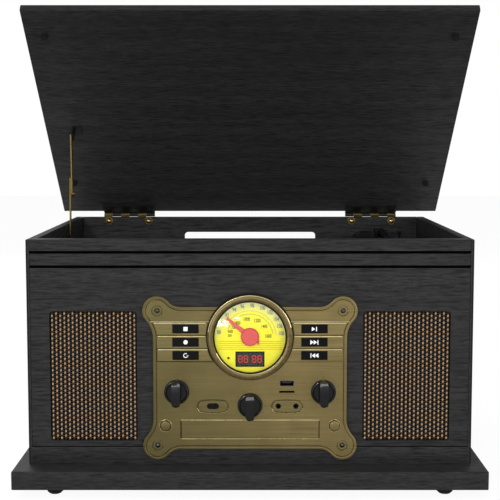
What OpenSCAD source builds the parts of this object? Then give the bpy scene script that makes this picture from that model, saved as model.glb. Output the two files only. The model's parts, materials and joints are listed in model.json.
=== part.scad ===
// Stereo music centre: a veneered cabinet on a plinth, with a lidded turntable on top and a
// radio, disc drawer and memory player behind a brass fascia. Millimetres, +Z up, +X to the
// right of someone facing the front, origin on the floor under the middle of the plinth.

/* [Cabinet] */
// Width over the side panels
body_w = 430; // [410:1:480]
// Depth from the front panel to the back panel
body_d = 335; // [325:1:380]
// Height of the cabinet above the plinth
body_h = 219.5; // [212:0.5:250]
// Thickness of the side panels
side_t = 9; // [7:0.5:11]
// Thickness of the back panel
back_t = 8; // [6:0.5:9]
// Thickness of the front panel
front_t = 15; // [12:0.5:16]
// Side panel that still shows beside the front panel
side_lip = 3; // [2:0.5:4]
// Chamfer on the edges of every board
board_chamfer = 0.7; // [0.3:0.1:1.2]
// Height of each shadow groove across the front
groove_h = 2.7; // [1.5:0.1:4]
// Depth of the shadow grooves
groove_depth = 2.5; // [1:0.5:5]
// Top of the cabinet down to the upper groove
groove_drop = 11; // [8:0.5:16]
// Distance between the two grooves
groove_pitch = 13.9; // [10:0.1:18]

/* [Plinth and feet] */
// Plinth beyond each side panel
plinth_side = 12.5; // [8:0.5:20]
// Plinth in front of the cabinet
plinth_front = 27.5; // [22:0.5:34]
// Plinth behind the cabinet
plinth_back = 7.5; // [7.5:0.5:20]
// Thickness of the plinth
plinth_h = 18; // [12:1:25]
// Height of the rubber feet
foot_h = 9; // [6:1:14]
// Diameter of the feet at the top
foot_d = 17; // [12:1:24]
// Plinth side edge to the middle of a foot
foot_side_inset = 38.5; // [25:0.5:60]
// Plinth front and back edge to the middle of a foot
foot_end_inset = 22.5; // [15:0.5:60]

/* [Lid] */
// Lid beyond each side panel
lid_side = 15.5; // [10:0.5:20]
// Lid in front of the cabinet when closed
lid_front = 9; // [4:0.5:16]
// Thickness of the lid
lid_t = 8; // [6:0.5:12]
// Angle at which the stay holds the lid open
lid_open = 39.2; // [38:0.1:40]
// Gap between the closed lid and the cabinet
lid_gap = 4; // [3.5:0.5:5]
// Diameter of the rubber bumpers under the lid
bumper_d = 7; // [5:0.5:8]

/* [Hinges] */
// Middle of the cabinet to the middle of a hinge
hinge_x = 149.6; // [120:0.1:165]
// Width of a hinge
hinge_w = 62.8; // [55:0.2:66]
// Thickness of the leaves
leaf_t = 1.2; // [0.8:0.1:1.3]
// Reach of the lid leaf over the lid
leaf_reach = 12.3; // [10:0.1:18]
// Radius of the knuckles
knuckle_r = 2.4; // [2.2:0.1:2.6]
// Radius of the hinge pin
pin_r = 1.2; // [0.9:0.1:1.4]
// Distance of the pin behind the back panel
pin_back = 4.2; // [4:0.1:4.6]
// Diameter of the domed bolt heads inside the back panel
bolt_head_d = 7; // [5:0.5:8]

/* [Lid stay] */
// Width of the stay's two links
stay_w = 6; // [4:0.5:7]
// Thickness of the links
stay_t = 1.4; // [1:0.1:1.6]
// Length of the lower arm beyond its pivot
stay_arm_len = 66; // [62:1:66]
// Length of the upper rod between its pivots
stay_rod_len = 66; // [64:0.1:67]
// Radius of the stay's rivets
rivet_r = 1.5; // [1.2:0.1:1.8]

/* [Fascia] */
// Width of the brass plate between its ears
fascia_w = 186.6; // [180:0.2:196]
// Height of the brass plate between its ears
fascia_h = 138.7; // [136:0.1:144]
// Height of the plate's middle above the plinth
fascia_up = 85.2; // [80:0.1:95]
// Thickness of the plate
fascia_t = 3; // [2.5:0.5:4]
// Radius of the four ears
ear_r = 14; // [12:0.5:15]
// Side edge of the plate inwards to the middle of an ear
ear_in = 3.9; // [2:0.1:7]
// Top and bottom edges inwards to the middle of an ear
ear_down = 3.55; // [2:0.05:6]
// Hollow curve between an ear and the top edge
ear_top_fillet = 16.3; // [12:0.1:20]
// Hollow curve between an ear and the side edge
ear_side_fillet = 24.8; // [20:0.1:30]
// Plate edge to the engraved border line
border_inset = 2.9; // [2:0.1:4]

/* [Dial] */
// Height of the dial's middle above the plate's middle
dial_up = 40.6; // [38:0.2:43]
// Outer radius of the dial's ring
dial_r = 41.3; // [38:0.1:42]
// Radius of the glass that shows
glass_r = 34.5; // [31:0.1:35]
// Height of the ring over the plate
bezel_h = 6; // [5:0.5:9]
// Radius of the pointer's hub
pointer_hub_r = 8.7; // [6:0.1:10]
// Length of the pointer from its axis
pointer_len = 28.7; // [22:0.1:31]
// Angle of the pointer above the right-hand horizontal
pointer_angle = 141; // [100:1:170]
// Width of the display window
display_w = 28; // [24:0.5:30]
// Height of the display window
display_h = 15; // [12:0.5:16]
// Dial's middle down to the display's middle
display_drop = 21.8; // [19:0.1:23]

/* [Keys and buttons] */
// Height of one long key
key_h = 12.4; // [11:0.1:13]
// Gap between keys, and round them
key_gap = 0.5; // [0.3:0.1:0.8]
// Height of the upper key's top edge over the plate's middle
key_top = 54.7; // [52:0.1:56]
// Keys in front of the plate
key_proud = 1.4; // [1.3:0.1:2]
// Travel of the keys and the round buttons
key_travel = 1.2; // [0.8:0.1:1.2]
// Radius of the round buttons
button_r = 5.3; // [4.5:0.1:6]
// Side edge of the plate to the middle of a round button
button_in = 11.5; // [9:0.5:15]
// Plate's middle down to the round buttons
button_drop = 46.5; // [44:0.5:48]

/* [Knobs] */
// Radius of a knob's skirt
knob_r = 11.9; // [10:0.1:12.5]
// Height of the skirt
skirt_h = 4.5; // [3:0.5:6]
// Height of the whole knob
knob_h = 17; // [13:0.5:19]
// Width of the grip bar
grip_w = 8.3; // [6:0.1:9]
// Radius of the control shafts
shaft_r = 3; // [2.5:0.1:3.2]
// Side edge of the plate to the middle of an outer knob
knob_in = 22.5; // [18:0.5:28]
// Plate's middle down to the outer knobs
knob_drop = 13; // [10:0.5:15]
// Plate's middle down to the middle knob
tuner_drop = 26; // [24:0.5:28]

/* [Disc drawer] */
// How far the drawer's front reaches past the tray on each side
drawer_lap = 4.2; // [3:0.1:6]
// Height of the drawer's front
drawer_h = 17.8; // [16:0.2:18.5]
// Plate's middle down to the drawer's middle
drawer_drop = 50.1; // [49.5:0.1:50.5]
// Gap round the drawer's front
drawer_gap = 0.4; // [0.3:0.1:0.7]
// Radius of the recess for a disc
disc_r = 60.5; // [60.5:0.5:61.5]
// How far the tray slides out
tray_travel = 125; // [110:1:128]

/* [Speakers] */
// Side of the cabinet to a grille
grille_outer = 22; // [14:0.1:30]
// Side of the brass plate to a grille
grille_inner = 16.2; // [12:0.1:24]
// Height of a grille
grille_h = 126; // [118:1:130]
// Height of a grille's middle above the plinth
grille_up = 86.7; // [78:0.1:96]
// Corner radius of the grilles
grille_r = 3; // [2:0.5:6]
// Edge of a grille to the loudspeaker cone behind it
cone_margin = 6; // [5:0.5:14]

/* [Turntable] */
// Cabinet top down to the deck
deck_drop = 39.5; // [38:0.5:44]
// Thickness of the deck
deck_t = 3; // [2:0.5:4]
// Front of the cabinet to the platter's axis
platter_back = 195; // [192:1:200]
// Radius of the platter
platter_r = 98; // [90:1:100]
// Radius of the ring that the belt runs on
drive_r = 62; // [55:1:66]
// Radius of the motor's pulley
pulley_r = 6.3; // [5:0.1:8]
// Radius of the record spindle
spindle_r = 3.55; // [3.5:0.01:3.6]
// Inside of the cabinet's side to the arm's pivot
arm_side = 48.5; // [46:0.5:52]
// Inside of the back panel to the arm's pivot
arm_back = 32; // [31:0.5:35]
// How far the stylus reaches past the spindle
arm_overhang = 9.4; // [6:0.1:14]
// Radius of the arm's tube
tube_r = 3; // [2.5:0.1:3.2]
// Width of the see-through slot in the back panel
slot_w = 161.6; // [120:0.2:170]
// Height of the slot
slot_h = 14; // [10:0.5:16]
// Cabinet top down to the slot's upper edge
slot_drop = 18.5; // [16:0.5:20]

/* [Hidden] */
$fn = 64;

// running clearance of a shaft in its bore, and of loose faces beside each other
run = 0.05;
play = 0.3;

// cabinet planes
plinth_w = body_w + 2 * plinth_side;
plinth_d = body_d + plinth_front + plinth_back;
plinth_top = foot_h + plinth_h;
front_y = -plinth_d / 2 + plinth_front;
back_y = front_y + body_d;
body_top = plinth_top + body_h;
inner_x = body_w / 2 - side_t;
inner_front = front_y + front_t;
inner_back = back_y - back_t;
front_w = body_w - 2 * side_lip;
grille_w = (body_w - fascia_w) / 2 - grille_outer - grille_inner;
grille_x = body_w / 2 - grille_outer - grille_w / 2;
cone_r = grille_w / 2 - cone_margin;

// lid and hinge axis, with the lid closed
lid_under = body_top + lid_gap;
lid_y0 = front_y - lid_front;
pin_y = back_y + pin_back;
pin_z = lid_under - leaf_t / 2 - 1.1;
knuckles = 6;
knuckle_w = hinge_w / knuckles;
leaf_drop = 10.5;
hinge_bolt_x = 24.5;
hinge_bolt_z = body_top - 5;
hinge_bolt_r = 1.7;

// lid stay: the wall pivot, the lid pivot with the lid closed, and the angle of each link
stay_wall_reach = 129.8;
stay_lid_reach = 162.2;
stay_wall_y = pin_y - stay_wall_reach;
stay_wall_z = body_top - 12.1;
stay_lid_y = pin_y - stay_lid_reach;
stay_lid_z = lid_under - 8.2;
stay_arm_angle = 85.7;
stay_rod_angle = -87;
stay_bracket_x = -inner_x;
stay_bracket_t = 1.2;
stay_arm_x = stay_bracket_x + stay_bracket_t + 0.5;
stay_rod_x = stay_arm_x + stay_t + 0.6;
stay_ear_x = stay_rod_x + stay_t + 0.6;
stay_ear_t = 1.5;
stay_slot = [20, stay_arm_len - 6];

// fascia planes: the plate lies on the front panel and the boards stand behind it
fascia_z = plinth_top + fascia_up;
fascia_front = front_y - fascia_t;
ear_x = fascia_w / 2 - ear_in;
ear_z = fascia_h / 2 - ear_down;
knob_x = fascia_w / 2 - knob_in;
button_x = fascia_w / 2 - button_in;
button_flange_r = button_r + 1.2;
window_w = 2 * (button_x + button_flange_r + 0.7);
window_h = fascia_h - 10.7;
board_t = 1.6;
board_w = window_w - 22;
board_below = 38;
board_above = 60;
post_x = 58;
post_z = [-36, 8];
board_y = front_y + 11.5;
dial_z = fascia_z + dial_up;
face_y = fascia_front + 0.5;
face_t = 1.5;
bezel_y = fascia_front - bezel_h;
glass_t = 1.5;
glass_y = bezel_y + 1.5;
seat_r = glass_r + 1.3;
drum_r = 10;
key_label_x = fascia_w / 2 - 31.4;
key_pitch = key_h + key_gap;
key_end_inset = border_inset + 0.3;
key_back = front_y + 1;
key_pocket = 3;
stem_r = 2.5;
stem_end = board_y - 2.4;
switch_h = 1;
drawer_z = fascia_z - drawer_drop;
drawer_t = 4;
knob_places = [[-knob_x, fascia_z - knob_drop], [0, fascia_z - tuner_drop],
    [knob_x, fascia_z - knob_drop]];

// oval recesses, jacks, memory ports
oval_x = 35.9;
oval_z = fascia_z - 27.4;
oval_w = 29.2;
oval_h = 12.2;
jack_x = [27.4, 44.4];
jack_bore_r = 1.8;
jack_collar_r = 2.65;
port_x = 35.6;
usb_z = fascia_z - 4.9;
usb_w = 13.6;
usb_h = 5.4;
card_z = fascia_z - 13.1;
card_w = 14.9;
card_h = 2;
socket_depth = 13;

// disc drawer parts
tray_w = 2 * disc_r + 4;
drawer_w = tray_w + 2 * drawer_lap;
tray_len = 2 * disc_r + 20;
tray_h = 12;
tray_y0 = fascia_front + drawer_t;
tray_z0 = drawer_z - 6.5;
tray_lip = 4;
lip_h = 2.5;
cage_t = 1.2;
cage_w = tray_w + 2 * tray_lip + 8;
cage_h = 44;
cage_d = tray_len + 14;

// turntable planes
deck_top = body_top - deck_drop;
platter_y = front_y + platter_back;
platter_z = deck_top + 3;
platter_top = platter_z + 8.5;
mat_t = 2;
mat_top = platter_top + mat_t;
spindle_top = mat_top + 9;
belt_z = platter_z + 0.5;
belt_h = 4;
belt_t = 0.6;
motor_angle = 150;
motor_reach = drive_r + 16;
motor_xy = [motor_reach * cos(motor_angle), platter_y + motor_reach * sin(motor_angle)];
motor_r = 16;
motor_h = 28;
motor_shaft_r = 1;
arm_x = inner_x - arm_side;
arm_pivot = [arm_x, inner_back - arm_back];
arm_y = arm_pivot[1] - platter_y;
arm_len = sqrt(arm_x * arm_x + arm_y * arm_y) + arm_overhang;
arm_z = deck_top + 22.5;
column_r = 9;
column_top = arm_z - tube_r - 3.2;
base_size = [66, 60];
base_shift = [0, -9];
housing_x = [32, 12.2];
housing_d = 15;
housing_h = arm_z - deck_top + 1.5;
base_t = 2.5;
gimbal_w = 10.6;
cheek_t = 1.7;
lift_r = 34;
lift_z = arm_z - tube_r - play;
lift_pin_r = 2;
lift_xy = [arm_pivot[0] - lift_r * sin(22), arm_pivot[1] - lift_r * cos(22)];
rest_y = platter_y - 30;
cue_x = arm_x + 22.5;
cue_y = arm_pivot[1] - 2;
cue_z = deck_top + 6.5;
cue_len = 18;
speed_x = inner_x - 41;
speed_y = inner_front + 30;
speed_travel = 6;

// boards, transformer and back panel fittings
main_board = [110, 130];
main_board_in = 11;
main_board_back = 19.5;
main_board_at = [-inner_x + main_board_in, inner_back - main_board_back - main_board[1]];
standoff_h = 8;
core_size = [50, 40, 42];
core_in = 41;
core_back = 64.5;
core_at = [inner_x - core_in - core_size[0], inner_back - core_back - core_size[1]];
core_flange = 5;
core_foot_t = 4;
coil_size = [42, 8, 26];
terminal_in = 101;
terminal_x = -inner_x + terminal_in;
terminal_z = plinth_top + 60;
terminal_w = 112;
terminal_h = 46;
inlet_x = -34;
socket_x = [8, 28];

wood = "#26262a";
brass = "#8a7848";
old_brass = "#6f6440";
black = "#151517";
steel = "#b9bcc0";
rubber = "#1d1d1f";

// ---------------------------------------------------------------- helpers

// heights of what is drawn in here run from y_back towards the viewer, and a drawing's
// second direction is up
module facing(y_back) { translate([0, y_back, 0]) rotate([90, 0, 0]) children(); }

// a box given by its lowest corner and its size
module block(low, size) { translate(low) cube(size); }

module rounded_rect(w, h, r) {
    square([w - 2 * r, h], center = true);
    square([w, h - 2 * r], center = true);
    for (x = [-1, 1], y = [-1, 1]) translate([x * (w / 2 - r), y * (h / 2 - r)]) circle(r);
}

module stadium(w, h) {
    square([w - h, h], center = true);
    for (x = [-1, 1]) translate([x * (w - h) / 2, 0]) circle(h / 2);
}

module cut_corner_rect(w, h, c) {
    polygon([[c, 0], [w - c, 0], [w, c], [w, h - c], [w - c, h], [c, h], [0, h - c], [0, c]]);
}

// a board with all its edges broken by a small chamfer
module board(low, size, c = board_chamfer) {
    translate(low) intersection() {
        linear_extrude(size[2]) cut_corner_rect(size[0], size[1], c);
        translate([0, size[1], 0]) rotate([90, 0, 0])
            linear_extrude(size[1]) cut_corner_rect(size[0], size[2], c);
        rotate([90, 0, 90]) linear_extrude(size[0]) cut_corner_rect(size[1], size[2], c);
    }
}

function arc(centre, r, from, to, steps = 10) =
    [for (i = [0 : steps]) let (a = from + (to - from) * i / steps)
        centre + r * [cos(a), sin(a)]];

// a quarter of the plate's outline: the top edge, the hollow curve, the ear, the hollow curve
// and the side edge, all moved inwards by inset
function quarter(inset) =
    let (half_w = fascia_w / 2 - inset, half_h = fascia_h / 2 - inset, er = ear_r - inset,
        tr = ear_top_fillet + inset, sr = ear_side_fillet + inset, ear = [ear_x, ear_z],
        top_c = [ear_x - sqrt(pow(er + tr, 2) - pow(half_h + tr - ear_z, 2)), half_h + tr],
        side_c = [half_w + sr, ear_z - sqrt(pow(er + sr, 2) - pow(half_w + sr - ear_x, 2))],
        to_top = atan2(top_c[1] - ear_z, top_c[0] - ear_x),
        to_side = atan2(side_c[1] - ear_z, side_c[0] - ear_x))
    concat(arc(top_c, tr, -90, to_top - 180), arc(ear, er, to_top, to_side, 20),
        arc(side_c, sr, to_side + 180, 180));

function turned(points, sx, sy) =
    let (m = [for (p = points) [sx * p[0], sy * p[1]]], n = len(m))
    sx * sy > 0 ? m : [for (i = [n - 1 : -1 : 0]) m[i]];

module fascia_outline(inset = 0) {
    q = quarter(inset);
    polygon(concat(turned(q, 1, 1), turned(q, 1, -1), turned(q, -1, -1), turned(q, -1, 1)));
}

// turns what is drawn for a closed lid to where the stay holds it
module opened() {
    translate([0, pin_y, pin_z]) rotate([-lid_open, 0, 0]) translate([0, -pin_y, -pin_z])
        children();
}

// a link of the stay, flat across X, drawn along +Y from its first pivot
module link(x, t, len, tail) {
    translate([x, 0, 0]) rotate([90, 0, 90]) linear_extrude(t)
        translate([(len - tail) / 2, 0]) stadium(len + tail, stay_w);
}

// a round bar along X
module x_bar(x, len, r) { translate([x, 0, 0]) rotate([0, 90, 0]) cylinder(r = r, h = len); }

// a domed round head, flat side down, for screws and bolts
module dome(r, h) {
    ball = (r * r + h * h) / (2 * h);
    rotate_extrude() intersection() {
        translate([0, h - ball]) circle(ball);
        square([r, h]);
    }
}

// ---------------------------------------------------------------- cabinet

module plinth() {
    color(wood) board([-plinth_w / 2, -plinth_d / 2, foot_h], [plinth_w, plinth_d, plinth_h]);
}

module feet() {
    color(rubber) for (x = [-1, 1], y = [-1, 1])
        translate([x * (plinth_w / 2 - foot_side_inset), y * (plinth_d / 2 - foot_end_inset), 0])
            rotate_extrude() {
                polygon([[0, 0], [foot_d / 2 - 3.2, 0], [foot_d / 2 - 0.7, 2.5],
                    [foot_d / 2, foot_h], [0, foot_h]]);
            }
}

module front_panel() {
    color(wood) difference() {
        board([-front_w / 2, front_y, plinth_top], [front_w, front_t, body_h]);
        for (i = [0, 1])
            block([-body_w / 2, front_y - 1, body_top - groove_drop - groove_h - i * groove_pitch],
                [body_w, groove_depth + 1, groove_h]);
        facing(inner_front + 1) linear_extrude(front_t + 2) {
            translate([0, fascia_z]) rounded_rect(window_w, window_h, 8);
            for (x = [-1, 1]) translate([x * grille_x, plinth_top + grille_up])
                rounded_rect(grille_w + 2 * play, grille_h + 2 * play, grille_r + play);
        }
        // room behind the outer ends of the keys
        facing(front_y + key_pocket) linear_extrude(key_pocket + 1) key_rows();
        fascia_screw_places() translate([0, 0, -8]) cylinder(r = 1.6, h = 9);
    }
}

module side_panels() {
    color(wood) for (side = [-1, 1]) difference() {
        board([side > 0 ? inner_x : -body_w / 2, front_y, plinth_top],
            [side_t, body_d, body_h]);
        block([side > 0 ? inner_x - 1 : -front_w / 2, front_y - 1, plinth_top - 1],
            [front_w / 2 - inner_x + 1, front_t + 1, body_h + 2]);
        if (side < 0) for (dy = [-7, 7])
            translate([0, stay_wall_y + dy, stay_wall_z]) x_bar(-inner_x - 6, 7, 1);
    }
}

module back_panel() {
    color(wood) difference() {
        board([-inner_x, inner_back, plinth_top], [2 * inner_x, back_t, body_h]);
        facing(back_y + 1) linear_extrude(back_t + 2) {
            translate([0, body_top - slot_drop - slot_h / 2]) rounded_rect(slot_w, slot_h, 5);
            translate([terminal_x, terminal_z]) square([terminal_w - 14, terminal_h - 14],
                center = true);
        }
        hinge_bolt_places() translate([0, 0, -1]) cylinder(r = hinge_bolt_r + 0.1, h = back_t + 2);
    }
}

module deck_cleats() {
    w = 10;
    h = 14;
    color("#a58a5c") {
        for (side = [-1, 1])
            block([side > 0 ? inner_x - w : -inner_x, inner_front + 10, deck_top - deck_t - h],
                [w, inner_back - inner_front - 10, h]);
        block([-inner_x + w, inner_back - w, deck_top - deck_t - h], [2 * (inner_x - w), w, h]);
    }
}

// ---------------------------------------------------------------- fascia

module fascia_screw_places() {
    for (x = [-1, 1], z = [-1, 1])
        facing(front_y) translate([x * ear_x, fascia_z + z * ear_z, 0]) children();
}

// the space of the three keys on one side, between the dial's ring and the plate's border
module key_space(side, shrink = 0) {
    difference() {
        intersection() {
            translate([side > 0 ? 0 : -fascia_w, fascia_z + key_top - 3 * key_pitch])
                square([fascia_w, 3 * key_pitch + key_gap]);
            translate([0, fascia_z]) fascia_outline(key_end_inset + shrink);
        }
        translate([0, dial_z]) circle(dial_r + key_gap + shrink, $fn = 128);
    }
}

module key_rows() { for (side = [-1, 1]) key_space(side); }

module fascia_plate() {
    color(brass) difference() {
        union() {
            facing(front_y) linear_extrude(fascia_t) difference() {
                translate([0, fascia_z]) fascia_outline();
                key_rows();
                translate([0, dial_z]) circle(seat_r + play, $fn = 128);
                translate([0, drawer_z]) square([drawer_w + 2 * drawer_gap,
                    drawer_h + 2 * drawer_gap], center = true);
                translate([port_x, usb_z]) square([usb_w, usb_h], center = true);
                translate([port_x, card_z]) square([card_w, card_h], center = true);
                translate([-oval_x, oval_z]) stadium(11.6, 5.8);
                for (x = jack_x) translate([x, oval_z]) circle(jack_collar_r + run);
                for (p = knob_places) translate(p) circle(shaft_r + 0.3);
                for (x = [-1, 1]) translate([x * button_x, fascia_z - button_drop])
                    circle(button_r + play);
            }
            // posts that carry the control board
            for (x = [-post_x, post_x], z = post_z)
                facing(board_y) translate([x, fascia_z + z, 0])
                    cylinder(r = 2.5, h = board_y - front_y);
        }
        // engraved border line, oval recesses and the seats of the screws
        facing(fascia_front + 0.5) linear_extrude(1) difference() {
            translate([0, fascia_z]) fascia_outline(border_inset - 0.35);
            translate([0, fascia_z]) fascia_outline(border_inset + 0.35);
            key_rows();
            translate([0, dial_z]) circle(dial_r);
        }
        facing(fascia_front + 0.8) linear_extrude(1) for (x = [-1, 1])
            translate([x * oval_x, oval_z]) stadium(oval_w, oval_h);
        fascia_screw_places() {
            translate([0, 0, -1]) cylinder(r = 1.6, h = fascia_t + 2);
            translate([0, 0, fascia_t - 0.8]) cylinder(r = 5, h = 2);
        }
    }
}

module fascia_screws() {
    color("#3b3a38") fascia_screw_places() {
        translate([0, 0, -7.5]) cylinder(r = 1.5, h = 7.5 + fascia_t - 0.8);
        translate([0, 0, fascia_t - 0.8]) dome(2.6, 1.8);
    }
}

module dial_bezel() {
    w = dial_r - seat_r;
    color(old_brass) facing(fascia_front) translate([0, dial_z, 0])
        rotate_extrude($fn = 128) {
            difference() {
                union() {
                    translate([seat_r, 0]) square([w, bezel_h - 2]);
                    translate([glass_r, bezel_h - 2]) square([dial_r - glass_r - 2, 2]);
                    translate([dial_r - 2, bezel_h - 2]) intersection() {
                        circle(2);
                        square(2);
                    }
                }
                translate([glass_r - 1, bezel_h - 1.5 - glass_t]) square([2.3, glass_t]);
            }
        }
}

module dial_glass() {
    color("#e8e8e0", 0.3) facing(glass_y + glass_t) translate([0, dial_z, 0])
        cylinder(r = seat_r, h = glass_t, $fn = 128);
}

module dial_face() {
    color("#eeea2a") facing(face_y + face_t) difference() {
        translate([0, dial_z, 0]) cylinder(r = seat_r, h = face_t, $fn = 128);
        translate([0, dial_z, -1]) cylinder(r = 1.5 + run, h = face_t + 2);
        translate([0, dial_z - display_drop, -1]) linear_extrude(face_t + 2)
            square([display_w, display_h], center = true);
        translate([-20.8, dial_z - display_drop + 1, -1]) cylinder(r = 1.2, h = face_t + 2);
    }
}

module display_module() {
    color("#15241c") {
        facing(board_y) translate([0, dial_z - display_drop, 0]) {
            linear_extrude(board_y - face_y - face_t - run)
                square([display_w + 4, display_h + 2], center = true);
            translate([0, 0, board_y - face_y - face_t - run]) linear_extrude(face_t - 0.5)
                square([display_w - 0.2, display_h - 0.2], center = true);
        }
    }
}

module dial_pointer() {
    top = face_y - 0.6;
    color("#d8384e") translate([0, 0, dial_z]) {
        facing(top) {
            cylinder(r = pointer_hub_r, h = 1.6);
            rotate(pointer_angle) linear_extrude(1.2)
                polygon([[0, 2.7], [pointer_len, 1.3], [pointer_len, -1.3], [0, -2.7]]);
            rotate(pointer_angle + 180) linear_extrude(1.2)
                polygon([[0, 4], [pointer_hub_r, 3.4], [pointer_hub_r + 3, -0.6], [0, -2]]);
        }
        facing(front_y + 5) cylinder(r = 1.5, h = front_y + 5 - top);
        facing(front_y + 5) cylinder(r = drum_r, h = 2);
    }
}

// a control board behind the fascia and the main board on the plinth
module circuit_boards() {
    color("#2f5a36") {
        facing(board_y + board_t) {
            translate([-board_w / 2, fascia_z - board_below, 0])
                cube([board_w, board_below + board_above, board_t]);
            for (side = [-1, 1]) translate([side * button_x - 6, fascia_z - button_drop - 7, 0])
                cube([12, 18, board_t]);
        }
        for (side = [-1, 1]) facing(board_y) {
            for (i = [0 : 2]) translate([side * key_label_x, key_z(i), 0])
                cylinder(r = 2.4, h = switch_h);
            translate([side * button_x, fascia_z - button_drop, 0])
                cylinder(r = 2.4, h = switch_h);
        }
        block([main_board_at[0], main_board_at[1], plinth_top + standoff_h],
            [main_board[0], main_board[1], board_t]);
        for (x = [7, main_board[0] - 7], y = [7, main_board[1] - 7])
            translate([main_board_at[0] + x, main_board_at[1] + y, plinth_top])
                cylinder(r = 3, h = standoff_h);
    }
}

// usb port, card slot, two jacks and the remote control's window, each on the control board
module front_sockets() {
    color(black) {
        facing(board_y) {
            translate([port_x, usb_z, 0]) difference() {
                linear_extrude(board_y - front_y) square([usb_w + 1.4, usb_h + 1.4],
                    center = true);
                translate([0, 0, 2]) linear_extrude(socket_depth)
                    square([usb_w - 1, usb_h - 0.6], center = true);
            }
            translate([port_x, card_z, 0]) difference() {
                linear_extrude(board_y - front_y) square([card_w + 1.4, card_h + 1.4],
                    center = true);
                translate([0, 0, 2]) linear_extrude(socket_depth)
                    square([card_w - 0.4, card_h - 0.5], center = true);
            }
            for (x = jack_x) translate([x, oval_z, 0]) difference() {
                union() {
                    cylinder(r = 3.6, h = board_y - front_y);
                    cylinder(r = jack_collar_r, h = board_y - front_y + fascia_t - 0.8);
                }
                translate([0, 0, 1]) cylinder(r = jack_bore_r, h = socket_depth + 4);
            }
            translate([-oval_x, oval_z, 0]) linear_extrude(board_y - front_y + 1.6)
                stadium(11.4, 5.6);
        }
    }
}

module knob_controls() {
    color(steel) for (p = knob_places) facing(board_y) translate([p[0], p[1], 0]) difference() {
        union() {
            cylinder(r = 8, h = 8);
            cylinder(r = shaft_r + 1.4, h = board_y - front_y);
        }
        translate([0, 0, 1.5]) cylinder(r = shaft_r + run, h = 20);
    }
}

module knob(place) {
    color(black) facing(fascia_front - 0.4) translate([place[0], place[1], 0]) {
        rotate_extrude() polygon([[0, 0], [knob_r, 0], [knob_r, skirt_h - 1.5],
            [knob_r - 1.5, skirt_h], [knob_r - 2.6, skirt_h - 0.8], [0, skirt_h - 0.8]]);
        intersection() {
            cylinder(r = knob_r + 0.3, h = knob_h);
            translate([0, 0, 0.5]) linear_extrude(knob_h) stadium_up(grip_w, 2 * knob_r + 0.6);
            rotate([90, 0, 90]) translate([0, 0, -10]) linear_extrude(20)
                polygon([[-knob_r, 0], [knob_r - 0.5, 0], [knob_r - 1, knob_h - 3],
                    [knob_r - 4, knob_h], [-knob_r + 1.3, knob_h], [-knob_r - 0.3, knob_h - 1.8],
                    [-knob_r - 0.3, skirt_h + 1]]);
        }
        translate([0, 0, -(board_y - fascia_front) + 2.5])
            cylinder(r = shaft_r, h = board_y - fascia_front - 2.4);
    }
}

module stadium_up(w, h) { rotate(90) stadium(h, w); }

module function_knob() { knob(knob_places[0]); }
module tuning_knob() { knob(knob_places[1]); }
module volume_knob() { knob(knob_places[2]); }

function key_z(row) = fascia_z + key_top - key_h / 2 - row * key_pitch;

// one long key with a bevelled upper edge and a stem that reaches towards its switch
module key(side, row) {
    z = key_z(row);
    color(brass) {
        facing(key_back) linear_extrude(key_back - fascia_front) key_face(side, z, 0);
        facing(fascia_front) linear_extrude(key_proud - 0.5) key_face(side, z, 0);
        facing(fascia_front - key_proud + 0.5) linear_extrude(0.5) key_face(side, z, 0.5);
        facing(stem_end) translate([side * key_label_x, z, 0])
            cylinder(r = stem_r, h = stem_end - key_back);
    }
}

module key_face(side, z, shrink) {
    intersection() {
        key_space(side, key_gap * 0.7 + shrink);
        translate([0, z]) square([2 * fascia_w, key_h - 2 * shrink], center = true);
    }
}

module key_stop() { key(-1, 0); }
module key_record() { key(-1, 1); }
module key_repeat() { key(-1, 2); }
module key_play() { key(1, 0); }
module key_next() { key(1, 1); }
module key_previous() { key(1, 2); }

module round_button(side) {
    color(brass) facing(stem_end) translate([side * button_x, fascia_z - button_drop, 0])
        rotate_extrude() polygon([[0, 0], [stem_r, 0], [stem_r, stem_end - front_y - 2],
            [button_flange_r, stem_end - front_y - 2], [button_flange_r, stem_end - front_y - play],
            [button_r, stem_end - front_y - play], [button_r, stem_end - fascia_front + 1],
            [button_r - 0.8, stem_end - fascia_front + 1.8], [0, stem_end - fascia_front + 1.8]]);
}

module power_button() { round_button(-1); }
module drawer_button() { round_button(1); }

// ---------------------------------------------------------------- disc drawer

module drawer_front() {
    color(brass) board([-drawer_w / 2, fascia_front, drawer_z - drawer_h / 2],
        [drawer_w, drawer_t, drawer_h], 0.4);
}

module disc_tray() {
    color(black) difference() {
        union() {
            block([-tray_w / 2, tray_y0, tray_z0], [tray_w, tray_len, tray_h]);
            block([-tray_w / 2 - tray_lip, tray_y0 + 16, tray_z0 + 4],
                [tray_w + 2 * tray_lip, tray_len - 16, lip_h]);
        }
        translate([0, tray_y0 + disc_r + 8, tray_z0 + 6]) cylinder(r = disc_r, h = tray_h, $fn = 96);
        translate([0, tray_y0 + disc_r + 8, tray_z0 + 4.5]) cylinder(r = 40.5, h = tray_h, $fn = 96);
        block([-17, tray_y0 + disc_r - 10, tray_z0 - 1], [34, 58, tray_h]);
    }
}

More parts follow.
